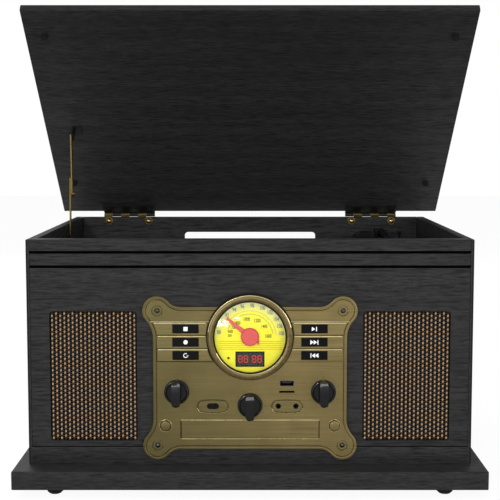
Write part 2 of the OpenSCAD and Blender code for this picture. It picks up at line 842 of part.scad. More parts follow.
// a steel cage open at the front, the rails that carry the tray, the turning hub and the pickup
module disc_mechanism() {
    y0 = inner_front;
    z0 = plinth_top;
    z_rail = tray_z0 + 4 - play;
    color(steel) {
        difference() {
            block([-cage_w / 2, y0, z0], [cage_w, cage_d, cage_h]);
            block([-cage_w / 2 + cage_t, y0 - 1, z0 + cage_t],
                [cage_w - 2 * cage_t, cage_d + 1 - cage_t, cage_h - 2 * cage_t]);
        }
        for (side = [-1, 1])
            block([side > 0 ? tray_w / 2 + play : -cage_w / 2 + cage_t, y0, z_rail - 4],
                [cage_w / 2 - cage_t - tray_w / 2 - play, cage_d - cage_t - 4, 4]);
        translate([0, tray_y0 + disc_r + 8, z0 + cage_t]) {
            cylinder(r = 13, h = tray_z0 - z0 - cage_t - 0.5);
            translate([-12, 18, 0]) cube([24, 20, tray_z0 - z0 - cage_t - 1]);
        }
    }
}

// ---------------------------------------------------------------- speakers

module speaker_places() {
    for (x = [-1, 1]) facing(front_y) translate([x * grille_x, plinth_top + grille_up, 0])
        children();
}

module speaker_grilles() {
    color("#5a4630") speaker_places() translate([0, 0, -4]) linear_extrude(4.4)
        rounded_rect(grille_w, grille_h, grille_r);
}

module speaker_frames() {
    color("#2c2d30") speaker_places() rotate([180, 0, 0]) {
        // baffle plate behind the front panel, with the driver's opening
        translate([0, 0, front_t]) linear_extrude(2) difference() {
            rounded_rect(grille_w + 16, grille_h + 16, 6);
            circle(cone_r + 1);
        }
        translate([0, 0, front_t + 2]) rotate_extrude() polygon([[cone_r + 1, 0],
            [cone_r + 4, 0], [18, 24], [16, 24], [16, 22]]);
        translate([0, 0, front_t + 26]) cylinder(r = 22, h = 12);
    }
}

module speaker_cones() {
    color("#1a1a1c") speaker_places() translate([0, 0, -front_t]) rotate([180, 0, 0])
        rotate_extrude() polygon([[cone_r + 0.9, 0], [cone_r + 0.9, 1.9], [cone_r - 3, -1],
            [cone_r - 6, 1.5], [11, 15], [0, 12], [0, 10.5], [11, 13.2], [cone_r - 7, 0],
            [cone_r - 3, -2.5]]);
}

// ---------------------------------------------------------------- inside and back

module transformer() {
    color("#7a7f86") {
        block([core_at[0] - core_flange, core_at[1] - core_flange, plinth_top],
            [core_size[0] + 2 * core_flange, core_size[1] + 2 * core_flange, core_foot_t]);
        block([core_at[0], core_at[1], plinth_top + core_foot_t], core_size);
    }
    color("#a5642e") for (s = [0, 1])
        block([core_at[0] + (core_size[0] - coil_size[0]) / 2,
            core_at[1] + (s > 0 ? core_size[1] : -coil_size[1]),
            plinth_top + core_foot_t + (core_size[2] - coil_size[2]) / 2], coil_size);
}

module terminal_panel() {
    color(black) facing(back_y + 2) difference() {
        translate([terminal_x, terminal_z, 0]) linear_extrude(2)
            rounded_rect(terminal_w, terminal_h, 3);
        translate([terminal_x + inlet_x, terminal_z, -1]) linear_extrude(4) stadium(19, 11);
        for (x = socket_x) translate([terminal_x + x, terminal_z, -1])
            cylinder(r = 4.6 + run, h = 4);
    }
}

// a two-pin mains inlet and two line sockets
module rear_sockets() {
    color("#2b2b2e") facing(back_y + 2.5) {
        translate([terminal_x + inlet_x, terminal_z, 0]) difference() {
            union() {
                linear_extrude(0.5) stadium(23, 15);
                linear_extrude(16) stadium(18.6, 10.6);
            }
            translate([0, 0, -1]) linear_extrude(12) stadium(14.6, 7);
        }
        for (x = [-3.6, 3.6]) translate([terminal_x + inlet_x + x, terminal_z, 2])
            cylinder(r = 1.2, h = 9);
        for (x = socket_x) translate([terminal_x + x, terminal_z, -5]) difference() {
            union() {
                cylinder(r = 4.15, h = 6);
                translate([0, 0, 4.5]) cylinder(r = 4.6, h = 12);
            }
            translate([0, 0, -1]) cylinder(r = 1.6, h = 12);
        }
    }
}

// ---------------------------------------------------------------- hinges and lid

module hinge_places() {
    for (side = [-1, 1]) mirror([side < 0 ? 1 : 0, 0, 0]) translate([hinge_x, 0, 0]) children();
}

module hinge_bolt_places() {
    for (side = [-1, 1], x = [-hinge_bolt_x, hinge_bolt_x])
        facing(back_y) translate([side * hinge_x + x, hinge_bolt_z, 0]) children();
}

// every second knuckle belongs to the same leaf, counted from the inner end
module knuckle_row(first) {
    for (i = [first : 2 : knuckles - 1])
        translate([-hinge_w / 2 + i * knuckle_w + 0.15, pin_y, pin_z]) difference() {
            rotate([0, 90, 0]) cylinder(r = knuckle_r, h = knuckle_w - 0.3);
            translate([-1, 0, 0]) rotate([0, 90, 0]) cylinder(r = pin_r + run, h = knuckle_w + 2);
        }
}

module web_row(first, outline) {
    for (i = [first : 2 : knuckles - 1])
        translate([-hinge_w / 2 + i * knuckle_w + 0.15, 0, 0]) difference() {
            rotate([90, 0, 90]) linear_extrude(knuckle_w - 0.3) polygon(outline);
            translate([-1, pin_y, pin_z]) rotate([0, 90, 0])
                cylinder(r = pin_r + run, h = knuckle_w + 2);
        }
}

module hinge_wall_leaves() {
    z0 = body_top - leaf_drop;
    color(brass) hinge_places() {
        difference() {
            block([-hinge_w / 2, back_y, z0], [hinge_w, leaf_t, leaf_drop - 1.5]);
            for (x = [-hinge_bolt_x, hinge_bolt_x]) translate([x, back_y - 1, hinge_bolt_z])
                rotate([-90, 0, 0]) cylinder(r = hinge_bolt_r + 0.1, h = 5);
        }
        knuckle_row(1);
        web_row(1, [[back_y, body_top - 3], [back_y + leaf_t, body_top - 1.55],
            [pin_y - 0.3, pin_z - knuckle_r + 0.1], [pin_y, pin_z],
            [pin_y - knuckle_r + 0.05, pin_z], [back_y, body_top - 1]]);
    }
}

module hinge_pins() {
    color(steel) hinge_places() translate([-hinge_w / 2, pin_y, pin_z])
        rotate([0, 90, 0]) cylinder(r = pin_r, h = hinge_w);
}

module hinge_bolts() {
    color(brass) hinge_bolt_places() {
        translate([0, 0, back_t]) dome(bolt_head_d / 2, 2.4);
        translate([0, 0, -leaf_t]) cylinder(r = hinge_bolt_r, h = back_t + leaf_t);
        translate([0, 0, -leaf_t - 2.2]) rotate(30) cylinder(r = 3.4, h = 2.2, $fn = 6);
    }
}

module lid() {
    color(wood) opened() board([-body_w / 2 - lid_side, lid_y0, lid_under],
        [body_w + 2 * lid_side, back_y - lid_y0, lid_t]);
}

module hinge_lid_leaves() {
    color(black) opened() hinge_places() {
        block([-hinge_w / 2, back_y - leaf_reach, lid_under - leaf_t],
            [hinge_w, leaf_reach, leaf_t]);
        knuckle_row(0);
        web_row(0, [[back_y - 0.5, lid_under - leaf_t], [pin_y, lid_under - leaf_t],
            [pin_y, pin_z + knuckle_r], [back_y - 0.5, lid_under - 0.2]]);
    }
}

module lid_bumpers() {
    color(rubber) opened() for (x = [-1, 1], y = [lid_y0 + 36, back_y - 60])
        translate([x * (body_w / 2 - side_t / 2), y, lid_under - lid_gap + play])
            cylinder(r = bumper_d / 2, h = lid_gap - play);
}

// ---------------------------------------------------------------- lid stay

module stay_wall_bracket() {
    color("#1b1a17") {
        translate([stay_bracket_x, stay_wall_y, stay_wall_z]) {
            rotate([90, 0, 90]) linear_extrude(stay_bracket_t) stadium(22, 9);
            x_bar(stay_bracket_t, stay_arm_x + stay_t + 0.25 - stay_bracket_x - stay_bracket_t,
                rivet_r);
            for (dy = [-7, 7]) translate([0, dy, 0]) {
                x_bar(-5, 5 + stay_bracket_t - 0.6, 0.95);
            }
        }
    }
}

module stay_arm() {
    color(old_brass) translate([0, stay_wall_y, stay_wall_z]) rotate([stay_arm_angle, 0, 0])
        difference() {
            link(stay_arm_x, stay_t, stay_arm_len, stay_w / 2);
            x_bar(stay_arm_x - 1, stay_t + 2, rivet_r + run);
            translate([stay_arm_x - 1, 0, 0]) rotate([90, 0, 90]) linear_extrude(stay_t + 2)
                translate([(stay_slot[0] + stay_slot[1]) / 2, 0])
                    stadium(stay_slot[1] - stay_slot[0], 2 * rivet_r + 0.4);
        }
}

module stay_rod() {
    color(brass) stay_lid_place() rotate([stay_rod_angle, 0, 0]) {
        difference() {
            link(stay_rod_x, stay_t, stay_rod_len + stay_w / 2, stay_w / 2);
            x_bar(stay_rod_x - 1, stay_t + 2, rivet_r + run);
        }
        // the stud that slides in the arm's slot ends just short of the arm
        translate([0, stay_rod_len, 0]) {
            x_bar(stay_rod_x - 0.35, 0.35, rivet_r);
            x_bar(stay_rod_x + stay_t, 2.4, rivet_r + 0.6);
        }
    }
}

// the lid pivot where the opened lid carries it, without the lid's own turn
module stay_lid_place() {
    dy = stay_lid_y - pin_y;
    dz = stay_lid_z - pin_z;
    translate([0, pin_y + dy * cos(lid_open) + dz * sin(lid_open),
        pin_z - dy * sin(lid_open) + dz * cos(lid_open)]) children();
}

module stay_lid_bracket() {
    ear_h = lid_under - stay_lid_z + 3.5;
    color(black) opened() {
        difference() {
            block([stay_ear_x, stay_lid_y - 6, lid_under - ear_h], [stay_ear_t, 12, ear_h]);
            translate([0, stay_lid_y, stay_lid_z]) x_bar(stay_ear_x - 1, stay_ear_t + 2, rivet_r);
        }
        block([stay_ear_x + stay_ear_t, stay_lid_y - 6, lid_under - 1.4], [9, 12, 1.4]);
        translate([0, stay_lid_y, stay_lid_z]) {
            x_bar(stay_rod_x - 0.3, stay_ear_x + stay_ear_t - stay_rod_x + 0.3, rivet_r);
            x_bar(stay_rod_x - 1.1, 0.8, rivet_r + 1);
        }
    }
}

// ---------------------------------------------------------------- turntable

module turntable_deck() {
    floor_z = deck_top - deck_t;
    color(black) difference() {
        union() {
            block([-inner_x + play, inner_front + play, floor_z],
                [2 * (inner_x - play), inner_back - inner_front - 2 * play, deck_t]);
            translate([0, platter_y, floor_z - 24]) cylinder(r = 11, h = 24);
            // raised ring round the platter
            translate([0, platter_y, deck_top]) difference() {
                cylinder(r = platter_r + 8, h = 1.5, $fn = 128);
                translate([0, 0, -1]) cylinder(r = platter_r + 4, h = 4, $fn = 128);
            }
        }
        translate([0, platter_y, floor_z - 25]) cylinder(r = spindle_r + run, h = 40);
        translate([motor_xy[0], motor_xy[1], floor_z - 1]) cylinder(r = 4, h = deck_t + 3);
        translate([arm_pivot[0], arm_pivot[1], floor_z - 1]) cylinder(r = 6, h = deck_t + 3);
        translate([lift_xy[0], lift_xy[1], floor_z - 1]) cylinder(r = lift_pin_r + play, h = deck_t + 3);
        block([speed_x - speed_travel - 5, speed_y - 2, floor_z - 1],
            [2 * speed_travel + 10, 4, deck_t + 2]);
    }
}

module record_spindle() {
    color(steel) translate([0, platter_y, 0]) {
        translate([0, 0, deck_top - deck_t - 20])
            cylinder(r = spindle_r, h = spindle_top - 1.5 - deck_top + deck_t + 20);
        translate([0, 0, spindle_top - 1.5]) dome(spindle_r, 1.5);
        difference() {
            translate([0, 0, deck_top + play]) cylinder(r = 9, h = 2.2);
            translate([0, 0, deck_top]) cylinder(r = spindle_r - 1, h = 3);
        }
    }
}

// a shallow dish with a rolled rim; the ring under it carries the belt
module platter() {
    color("#2b2b2d") translate([0, platter_y, 0]) rotate_extrude($fn = 128) {
        polygon([[spindle_r, deck_top + 2.5], [12, deck_top + 2.5], [12, platter_top - 2.5],
            [drive_r - 2, platter_top - 2.5], [drive_r - 2, platter_z],
            [drive_r, platter_z], [drive_r, platter_top - 2.5],
            [platter_r - 2, platter_top - 2.5], [platter_r - 2, platter_z + 0.5],
            [platter_r, platter_z + 0.5], [platter_r, platter_top - 1],
            [platter_r - 1, platter_top], [spindle_r, platter_top]]);
    }
}

module platter_mat() {
    color(rubber) translate([0, platter_y, platter_top]) rotate_extrude($fn = 128) difference() {
        polygon([[spindle_r + 0.2, 0], [platter_r - 2, 0], [platter_r - 2, mat_t - 0.6],
            [platter_r - 2.6, mat_t], [spindle_r + 0.2, mat_t]]);
        for (r = [20 : 8 : platter_r - 8]) translate([r, mat_t - 0.5]) square([2.4, 1]);
    }
}

module drive_motor() {
    color(steel) translate([motor_xy[0], motor_xy[1], deck_top - deck_t - motor_h]) difference() {
        cylinder(r = motor_r, h = motor_h);
        translate([0, 0, 6]) cylinder(r = motor_shaft_r + run, h = motor_h);
    }
}

module motor_pulley() {
    color("#c9b98a") translate([motor_xy[0], motor_xy[1], 0]) {
        translate([0, 0, deck_top - deck_t - 16]) cylinder(r = motor_shaft_r, h = 20 + deck_t);
        translate([0, 0, belt_z - 1]) cylinder(r = pulley_r + 0.9, h = 0.8);
        translate([0, 0, belt_z - 0.3]) cylinder(r = pulley_r, h = belt_h + 0.7);
    }
}

module belt_outline(extra) {
    hull() {
        translate([0, platter_y]) circle(drive_r + extra, $fn = 96);
        translate(motor_xy) circle(pulley_r + extra, $fn = 48);
    }
}

module drive_belt() {
    color("#18181a") translate([0, 0, belt_z]) linear_extrude(belt_h) difference() {
        belt_outline(0.15 + belt_t);
        belt_outline(0.15);
    }
}

// the base plate with the arm's column, the cue lever's ears and the rest for the arm
module tonearm_base() {
    color(black) {
        translate([arm_pivot[0], arm_pivot[1], deck_top]) {
            difference() {
                union() {
                    translate(base_shift) linear_extrude(base_t)
                        rounded_rect(base_size[0], base_size[1], 6);
                    cylinder(r = column_r, h = column_top - deck_top);
                    // housing of the arm's switch, beside the column
                    translate([0, housing_d / 2, 0]) rotate([90, 0, 0]) linear_extrude(housing_d)
                        polygon([[-housing_x[0], 0], [-housing_x[1], 0], [-housing_x[1], housing_h],
                            [-housing_x[0] + 7, housing_h], [-housing_x[0], housing_h - 4]]);
                }
                translate([0, 0, -1]) cylinder(r = 3.5 + run, h = 40);
                translate([lift_xy[0] - arm_pivot[0], lift_xy[1] - arm_pivot[1], -1])
                    cylinder(r = lift_pin_r + run, h = 5);
            }
        }
        for (x = [cue_x - 3.6, cue_x + 1.6]) difference() {
            block([x, cue_y - 3.5, deck_top + base_t], [2, 7, 7.5]);
            translate([0, cue_y, cue_z]) x_bar(x - 1, 4, 1.2 + run);
        }
        // rest: a post with a low cradle and one upright cheek on the outer side
        translate([arm_x, rest_y, deck_top]) {
            cylinder(r = 7, h = base_t);
            cylinder(r = 3.5, h = arm_z - tube_r - play - deck_top);
            translate([-5, -4, arm_z - deck_top - tube_r - play - 3]) cube([13, 8, 3]);
            translate([tube_r + 1, -4, arm_z - deck_top - tube_r - play]) cube([2, 8, 6]);
        }
    }
}

module tonearm_gimbal() {
    color("#2f3033") translate([arm_pivot[0], arm_pivot[1], 0]) {
        translate([0, 0, deck_top - deck_t + 1])
            cylinder(r = 3.5, h = column_top + play - deck_top + deck_t - 1);
        difference() {
            union() {
                translate([0, 0, column_top + play]) cylinder(r = 8.6, h = 1.4);
                for (x = [-gimbal_w / 2, gimbal_w / 2 - cheek_t])
                    translate([x, -6, column_top + play + 1.4])
                        cube([cheek_t, 12, arm_z + 3.5 - column_top - play - 1.4]);
            }
            translate([0, 0, arm_z]) x_bar(-10, 20, 1 + run);
        }
    }
}

module tonearm_tube() {
    front_end = arm_pivot[1] - arm_len + 22;
    color(steel) translate([arm_pivot[0], 0, arm_z]) {
        translate([0, arm_pivot[1] + 14, 0]) rotate([90, 0, 0])
            cylinder(r = tube_r, h = arm_pivot[1] + 14 - front_end);
        translate([0, arm_pivot[1], 0]) x_bar(-gimbal_w / 2, gimbal_w, 1);
        // balance block at the tail
        translate([-5.2, arm_pivot[1] + 13, -4]) cube([10.4, 12, 7.5]);
    }
}

module headshell() {
    front_end = arm_pivot[1] - arm_len;
    stylus_z = mat_top + 1.8;
    color(black) translate([arm_pivot[0], 0, 0]) {
        difference() {
            translate([-7, front_end - 8, arm_z - 4.5]) cube([14, 32, 7.5]);
            translate([0, front_end + 22, arm_z]) rotate([-90, 0, 0]) cylinder(r = tube_r, h = 5);
        }
        translate([-4.5, front_end - 4, stylus_z + 2]) cube([9, 18, arm_z - 4.5 - stylus_z - 2]);
        translate([-0.8, front_end - 1, stylus_z]) cube([1.6, 5, 2]);
        translate([6, front_end - 4, arm_z + 1]) rotate([0, 60, 0]) cube([1.2, 4, 9]);
    }
}

module cue_lever() {
    color(black) translate([0, cue_y, cue_z]) {
        x_bar(cue_x - 3.6, 7.2, 1.2);
        translate([cue_x - 1, -2, 0]) cube([2, 4, cue_len - 2]);
        translate([cue_x - 1.8, -2.6, cue_len - 5]) cube([3.6, 5.2, 5]);
        x_bar(cue_x - 1, 2, 2.8);
    }
}

// an arc under the tube, on a pin that goes down through the base
module cue_lift() {
    color(black) {
        translate([arm_pivot[0], arm_pivot[1], lift_z - 2.4])
            rotate_sector(lift_r - 2, lift_r + 2, -84, -136, 2.4);
        translate([lift_xy[0], lift_xy[1], deck_top + 1])
            cylinder(r = lift_pin_r, h = lift_z - 2.4 - deck_top - 1);
    }
}

module rotate_sector(r0, r1, from, to, h) {
    linear_extrude(h) polygon(concat(arc([0, 0], r1, from, to, 16), arc([0, 0], r0, to, from, 16)));
}

module speed_lever() {
    color(steel) translate([speed_x, speed_y, 0]) {
        translate([-1.5, -1.7, deck_top - deck_t - 4]) cube([3, 3.4, deck_t + 10]);
        translate([-4.5, -3.5, deck_top + play]) cube([9, 7, 3]);
    }
}

// ---------------------------------------------------------------- output

plinth();
feet();
front_panel();
side_panels();
back_panel();
deck_cleats();
turntable_deck();
fascia_plate();
fascia_screws();
dial_bezel();
dial_glass();
dial_face();
display_module();
circuit_boards();
front_sockets();
knob_controls();
speaker_grilles();
speaker_frames();
speaker_cones();
disc_mechanism();
transformer();
terminal_panel();
rear_sockets();
hinge_wall_leaves();
hinge_pins();
hinge_bolts();
stay_wall_bracket();
drive_motor();
drive_belt();
tonearm_base();
lid();
hinge_lid_leaves();
lid_bumpers();
stay_lid_bracket();
stay_arm();
stay_rod();
function_knob();
tuning_knob();
volume_knob();
dial_pointer();
key_stop();
key_record();
key_repeat();
key_play();
key_next();
key_previous();
power_button();
drawer_button();
disc_tray();
drawer_front();
platter();
platter_mat();
record_spindle();
motor_pulley();
tonearm_gimbal();
tonearm_tube();
headshell();
cue_lever();
cue_lift();
speed_lever();
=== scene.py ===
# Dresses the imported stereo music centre: black ash veneer, antique brass, woven grilles, a
# printed tuning dial. Metres, +Z up, the front faces -Y. Sizes marked mm are millimetres.
import json
import math

import bmesh
import bpy
from mathutils import Matrix, Vector

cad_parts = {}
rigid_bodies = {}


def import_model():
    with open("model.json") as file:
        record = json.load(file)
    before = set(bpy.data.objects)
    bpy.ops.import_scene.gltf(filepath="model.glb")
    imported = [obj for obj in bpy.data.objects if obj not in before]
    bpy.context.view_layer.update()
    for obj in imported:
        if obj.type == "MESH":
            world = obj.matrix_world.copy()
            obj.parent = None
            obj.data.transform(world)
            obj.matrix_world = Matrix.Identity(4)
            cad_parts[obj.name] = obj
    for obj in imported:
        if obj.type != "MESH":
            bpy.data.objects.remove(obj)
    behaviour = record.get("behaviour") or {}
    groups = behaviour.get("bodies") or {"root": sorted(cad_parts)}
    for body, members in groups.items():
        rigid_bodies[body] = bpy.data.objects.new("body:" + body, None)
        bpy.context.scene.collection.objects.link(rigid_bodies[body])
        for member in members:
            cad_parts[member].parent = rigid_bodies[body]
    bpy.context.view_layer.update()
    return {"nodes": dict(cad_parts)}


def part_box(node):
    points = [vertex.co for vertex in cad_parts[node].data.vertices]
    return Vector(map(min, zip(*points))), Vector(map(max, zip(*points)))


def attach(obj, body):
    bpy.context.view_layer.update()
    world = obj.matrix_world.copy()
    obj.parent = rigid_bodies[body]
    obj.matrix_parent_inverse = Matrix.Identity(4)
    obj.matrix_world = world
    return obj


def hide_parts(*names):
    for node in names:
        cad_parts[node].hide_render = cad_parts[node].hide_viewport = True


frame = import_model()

mm = 0.001
nodes = frame["nodes"]

# ---- places taken from the frame


def middle(node):
    low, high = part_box(node)
    return (low + high) / 2


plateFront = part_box("fascia_plate")[0].y
plateCentre = middle("fascia_plate")
dialCentre = middle("dial_bezel")
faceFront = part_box("dial_face")[0].y
grilleLow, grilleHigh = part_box("speaker_grilles")
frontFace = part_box("front_panel")[0].y
platterCentre = middle("platter_mat")
hingeLine = {"pin": (181.7, 248.8), "open": 39.2}  # y and z in mm, the lid's opening in degrees

# ---- small tools


def toLinear(code):
    parts = [int(code[i:i + 2], 16) / 255 for i in (1, 3, 5)]
    return (*[c / 12.92 if c <= 0.04045 else ((c + 0.055) / 1.055) ** 2.4 for c in parts], 1)


def addNode(tree, kind, sockets=(), **settings):
    node = tree.nodes.new(kind)
    for name, value in settings.items():
        setattr(node, name, value)
    for name, value in dict(sockets).items():
        if isinstance(value, bpy.types.NodeSocket):
            tree.links.new(value, node.inputs[name])
        else:
            node.inputs[name].default_value = value
    return node


def newObject(name, mesh):
    made = bpy.data.objects.new(name, mesh)
    bpy.context.scene.collection.objects.link(made)
    return made


def meshFrom(build):
    shape = bmesh.new()
    build(shape)
    bmesh.ops.recalc_face_normals(shape, faces=shape.faces)
    mesh = bpy.data.meshes.new("shape")
    shape.to_mesh(mesh)
    shape.free()
    return mesh


def settle(thing, smoothAngle=35):
    # turns an object with live modifiers into one with a plain mesh
    depsgraph = bpy.context.evaluated_depsgraph_get()
    mesh = bpy.data.meshes.new_from_object(thing.evaluated_get(depsgraph), depsgraph=depsgraph)
    thing.modifiers.clear()
    thing.data = mesh
    mesh.shade_smooth()
    mesh.set_sharp_from_angle(angle=math.radians(smoothAngle))
    return thing


def dress(piece, body, material=None, replaced=()):
    if material:
        piece.data.materials.clear()
        piece.data.materials.append(material)
    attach(piece, body)
    if replaced:
        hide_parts(*replaced)
    return piece


def joined(name, meshes):
    shape = bmesh.new()
    for mesh in meshes:
        shape.from_mesh(mesh)
    mesh = bpy.data.meshes.new(name)
    shape.to_mesh(mesh)
    shape.free()
    return newObject(name, mesh)


def prism(outline, back, front):
    # outline is a list of (x, z) that runs anticlockwise as the viewer in front sees it
    def build(shape):
        rear = [shape.verts.new((x, back, z)) for x, z in outline]
        face = shape.faces.new(rear)
        grown = bmesh.ops.extrude_face_region(shape, geom=[face])
        moved = [v for v in grown["geom"] if isinstance(v, bmesh.types.BMVert)]
        bmesh.ops.translate(shape, verts=moved, vec=(0, front - back, 0))
    return meshFrom(build)


def arcPoints(centre, radius, start, end, steps):
    angles = [math.radians(start + (end - start) * i / steps) for i in range(steps + 1)]
    return [(centre[0] + radius * math.cos(a), centre[1] + radius * math.sin(a)) for a in angles]


def roundedBox(centre, width, height, radius, steps=6):
    corners = ((1, 1, 0), (-1, 1, 90), (-1, -1, 180), (1, -1, 270))
    points = []
    for sx, sz, start in corners:
        corner = (centre[0] + sx * (width / 2 - radius), centre[1] + sz * (height / 2 - radius))
        points += arcPoints(corner, radius, start, start + 90, steps)
    return points


def lathe(profile, centre, axis, segments, closed=True):
    # profile is a list of (radius, height along the axis) in mm, centre is in metres
    def build(shape):
        turn = Vector((0, 0, 1)).rotation_difference(Vector(axis)).to_matrix().to_4x4()
        place = Matrix.Translation(centre) @ turn
        angles = [2 * math.pi * i / segments for i in range(segments)]
        rings = []
        for radius, height in ((r * mm, h * mm) for r, h in profile):
            spots = [Vector((radius * math.cos(a), radius * math.sin(a), height)) for a in angles]
            if radius < 1e-7:
                spots = [Vector((0, 0, height))]
            rings.append([shape.verts.new(place @ spot) for spot in spots])
        for one, two in zip(rings, rings[1:] + rings[:1] if closed else rings[1:]):
            for i in range(segments):
                j = (i + 1) % segments
                ring = [one[i % len(one)], one[j % len(one)], two[j % len(two)], two[i % len(two)]]
                corners = list(dict.fromkeys(ring))
                if len(corners) > 2:
                    shape.faces.new(corners)
    return meshFrom(build)


def plank(low, high, edge=0.3, segments=2):
    # a block between two corners in mm, with its edges rounded
    def build(shape):
        bmesh.ops.create_cube(shape, size=1)
        size = [(b - a) * mm for a, b in zip(low, high)]
        centre = [(a + b) / 2 * mm for a, b in zip(low, high)]
        bmesh.ops.scale(shape, vec=size, verts=shape.verts)
        bmesh.ops.translate(shape, vec=centre, verts=shape.verts)
        bmesh.ops.bevel(shape, geom=list(shape.edges), offset=edge * mm, segments=segments,
                        profile=0.5, affect="EDGES")
    return meshFrom(build)


def smoothed(thing, angle=35):
    thing.data.shade_smooth()
    thing.data.set_sharp_from_angle(angle=math.radians(angle))
    return thing


def bevelled(thing, width, segments=2, angle=40):
    bevel = thing.modifiers.new("edges", "BEVEL")
    bevel.width = width
    bevel.segments = segments
    bevel.limit_method = "ANGLE"
    bevel.angle_limit = math.radians(angle)
    return settle(thing, 13)


def softCopy(node, name, width, segments=2):
    # the CAD shape with its loose triangles merged and its sharp edges rounded
    shape = bmesh.new()
    shape.from_mesh(nodes[node].data)
    bmesh.ops.remove_doubles(shape, verts=shape.verts, dist=1e-6)
    bmesh.ops.dissolve_limit(shape, angle_limit=math.radians(0.5), verts=shape.verts, edges=shape.edges)
    mesh = bpy.data.meshes.new(name)
    shape.to_mesh(mesh)
    shape.free()
    return bevelled(newObject(name, mesh), width, segments)


# ---- geometry node trees


def openTree(name, inputs):
    tree = bpy.data.node_groups.new(name, "GeometryNodeTree")
    tree.interface.new_socket("Geometry", in_out="INPUT", socket_type="NodeSocketGeometry")
    for socket, kind in inputs.items():
        tree.interface.new_socket(socket, in_out="INPUT", socket_type="NodeSocket" + kind)
    tree.interface.new_socket("Geometry", in_out="OUTPUT", socket_type="NodeSocketGeometry")
    return tree, addNode(tree, "NodeGroupInput").outputs


def closeTree(tree, geometry, material):
    real = addNode(tree, "GeometryNodeRealizeInstances", {"Geometry": geometry})
    painted = addNode(tree, "GeometryNodeSetMaterial",
                      {"Geometry": real.outputs[0], "Material": material})
    addNode(tree, "NodeGroupOutput", {"Geometry": painted.outputs[0]})
    return tree


def makeGridTree():
    # rows and columns of the object's own shape, in the X-Z plane, every second column shifted
    tree, given = openTree("rowsAndColumns", {
        "Columns": "Int", "Rows": "Int", "Column Pitch": "Float", "Row Pitch": "Float",
        "Stagger": "Float", "Copies": "Int", "Copy Pitch": "Float", "Material": "Material"})

    def centredLine(count, pitch, axis):
        # a row of points along X or Z, half on each side of the middle
        last = addNode(tree, "ShaderNodeMath", {0: count, 1: 1.0}, operation="SUBTRACT").outputs[0]
        half = addNode(tree, "ShaderNodeMath", {0: last, 1: -0.5}, operation="MULTIPLY").outputs[0]
        start = addNode(tree, "ShaderNodeMath", {0: half, 1: pitch}, operation="MULTIPLY").outputs[0]
        place = addNode(tree, "ShaderNodeCombineXYZ", {axis: start}).outputs[0]
        step = addNode(tree, "ShaderNodeCombineXYZ", {axis: pitch}).outputs[0]
        return addNode(tree, "GeometryNodeMeshLine",
                       {"Count": count, "Start Location": place, "Offset": step}).outputs[0]

    columns = centredLine(given["Columns"], given["Column Pitch"], "X")
    rows = centredLine(given["Rows"], given["Row Pitch"], "Z")
    lattice = addNode(tree, "GeometryNodeInstanceOnPoints", {"Points": columns, "Instance": rows})
    points = addNode(tree, "GeometryNodeRealizeInstances", {"Geometry": lattice.outputs[0]})
    index = addNode(tree, "GeometryNodeInputIndex").outputs[0]
    column = addNode(tree, "ShaderNodeMath", {0: index, 1: given["Rows"]}, operation="DIVIDE")
    whole = addNode(tree, "ShaderNodeMath", {0: column.outputs[0]}, operation="FLOOR")
    odd = addNode(tree, "ShaderNodeMath", {0: whole.outputs[0], 1: 2.0}, operation="MODULO")
    centred = addNode(tree, "ShaderNodeMath", {0: odd.outputs[0], 1: 0.5}, operation="SUBTRACT")
    shift = addNode(tree, "ShaderNodeMath", {0: centred.outputs[0], 1: given["Stagger"]},
                    operation="MULTIPLY")
    lifted = addNode(tree, "ShaderNodeCombineXYZ", {"Z": shift.outputs[0]})
    staggered = addNode(tree, "GeometryNodeSetPosition",
                        {"Geometry": points.outputs[0], "Offset": lifted.outputs[0]})
    field = addNode(tree, "GeometryNodeInstanceOnPoints",
                    {"Points": staggered.outputs[0], "Instance": given["Geometry"]})
    copies = centredLine(given["Copies"], given["Copy Pitch"], "X")
    both = addNode(tree, "GeometryNodeInstanceOnPoints",
                   {"Points": copies, "Instance": field.outputs[0]})
    return closeTree(tree, both.outputs[0], given["Material"])


def makeRingTree():
    # copies of the object's own shape round a circle in the X-Z plane, each turned outwards
    tree, given = openTree("roundARing", {
        "Count": "Int", "Radius": "Float", "Start Angle": "Float", "End Angle": "Float",
        "Material": "Material"})
    line = addNode(tree, "GeometryNodeMeshLine", {"Count": given["Count"]})
    index = addNode(tree, "GeometryNodeInputIndex").outputs[0]
    last = addNode(tree, "ShaderNodeMath", {0: given["Count"], 1: 1.0}, operation="SUBTRACT")
    share = addNode(tree, "ShaderNodeMath", {0: index, 1: last.outputs[0]}, operation="DIVIDE")
    span = addNode(tree, "ShaderNodeMath", {0: given["End Angle"], 1: given["Start Angle"]},
                   operation="SUBTRACT")
    angle = addNode(tree, "ShaderNodeMath",
                    {0: share.outputs[0], 1: span.outputs[0], 2: given["Start Angle"]},
                    operation="MULTIPLY_ADD").outputs[0]
    cosine = addNode(tree, "ShaderNodeMath", {0: angle}, operation="COSINE").outputs[0]
    sine = addNode(tree, "ShaderNodeMath", {0: angle}, operation="SINE").outputs[0]
    direction = addNode(tree, "ShaderNodeCombineXYZ", {"X": cosine, "Z": sine})
    place = addNode(tree, "ShaderNodeVectorMath",
                    {0: direction.outputs[0], "Scale": given["Radius"]}, operation="SCALE")
    points = addNode(tree, "GeometryNodeSetPosition",
                     {"Geometry": line.outputs[0], "Position": place.outputs[0]})
    back = addNode(tree, "ShaderNodeMath", {0: angle, 1: -1.0}, operation="MULTIPLY").outputs[0]
    turn = addNode(tree, "ShaderNodeCombineXYZ", {"Y": back})
    ring = addNode(tree, "GeometryNodeInstanceOnPoints",
                   {"Points": points.outputs[0], "Instance": given["Geometry"],
                    "Rotation": turn.outputs[0]})
    return closeTree(tree, ring.outputs[0], given["Material"])


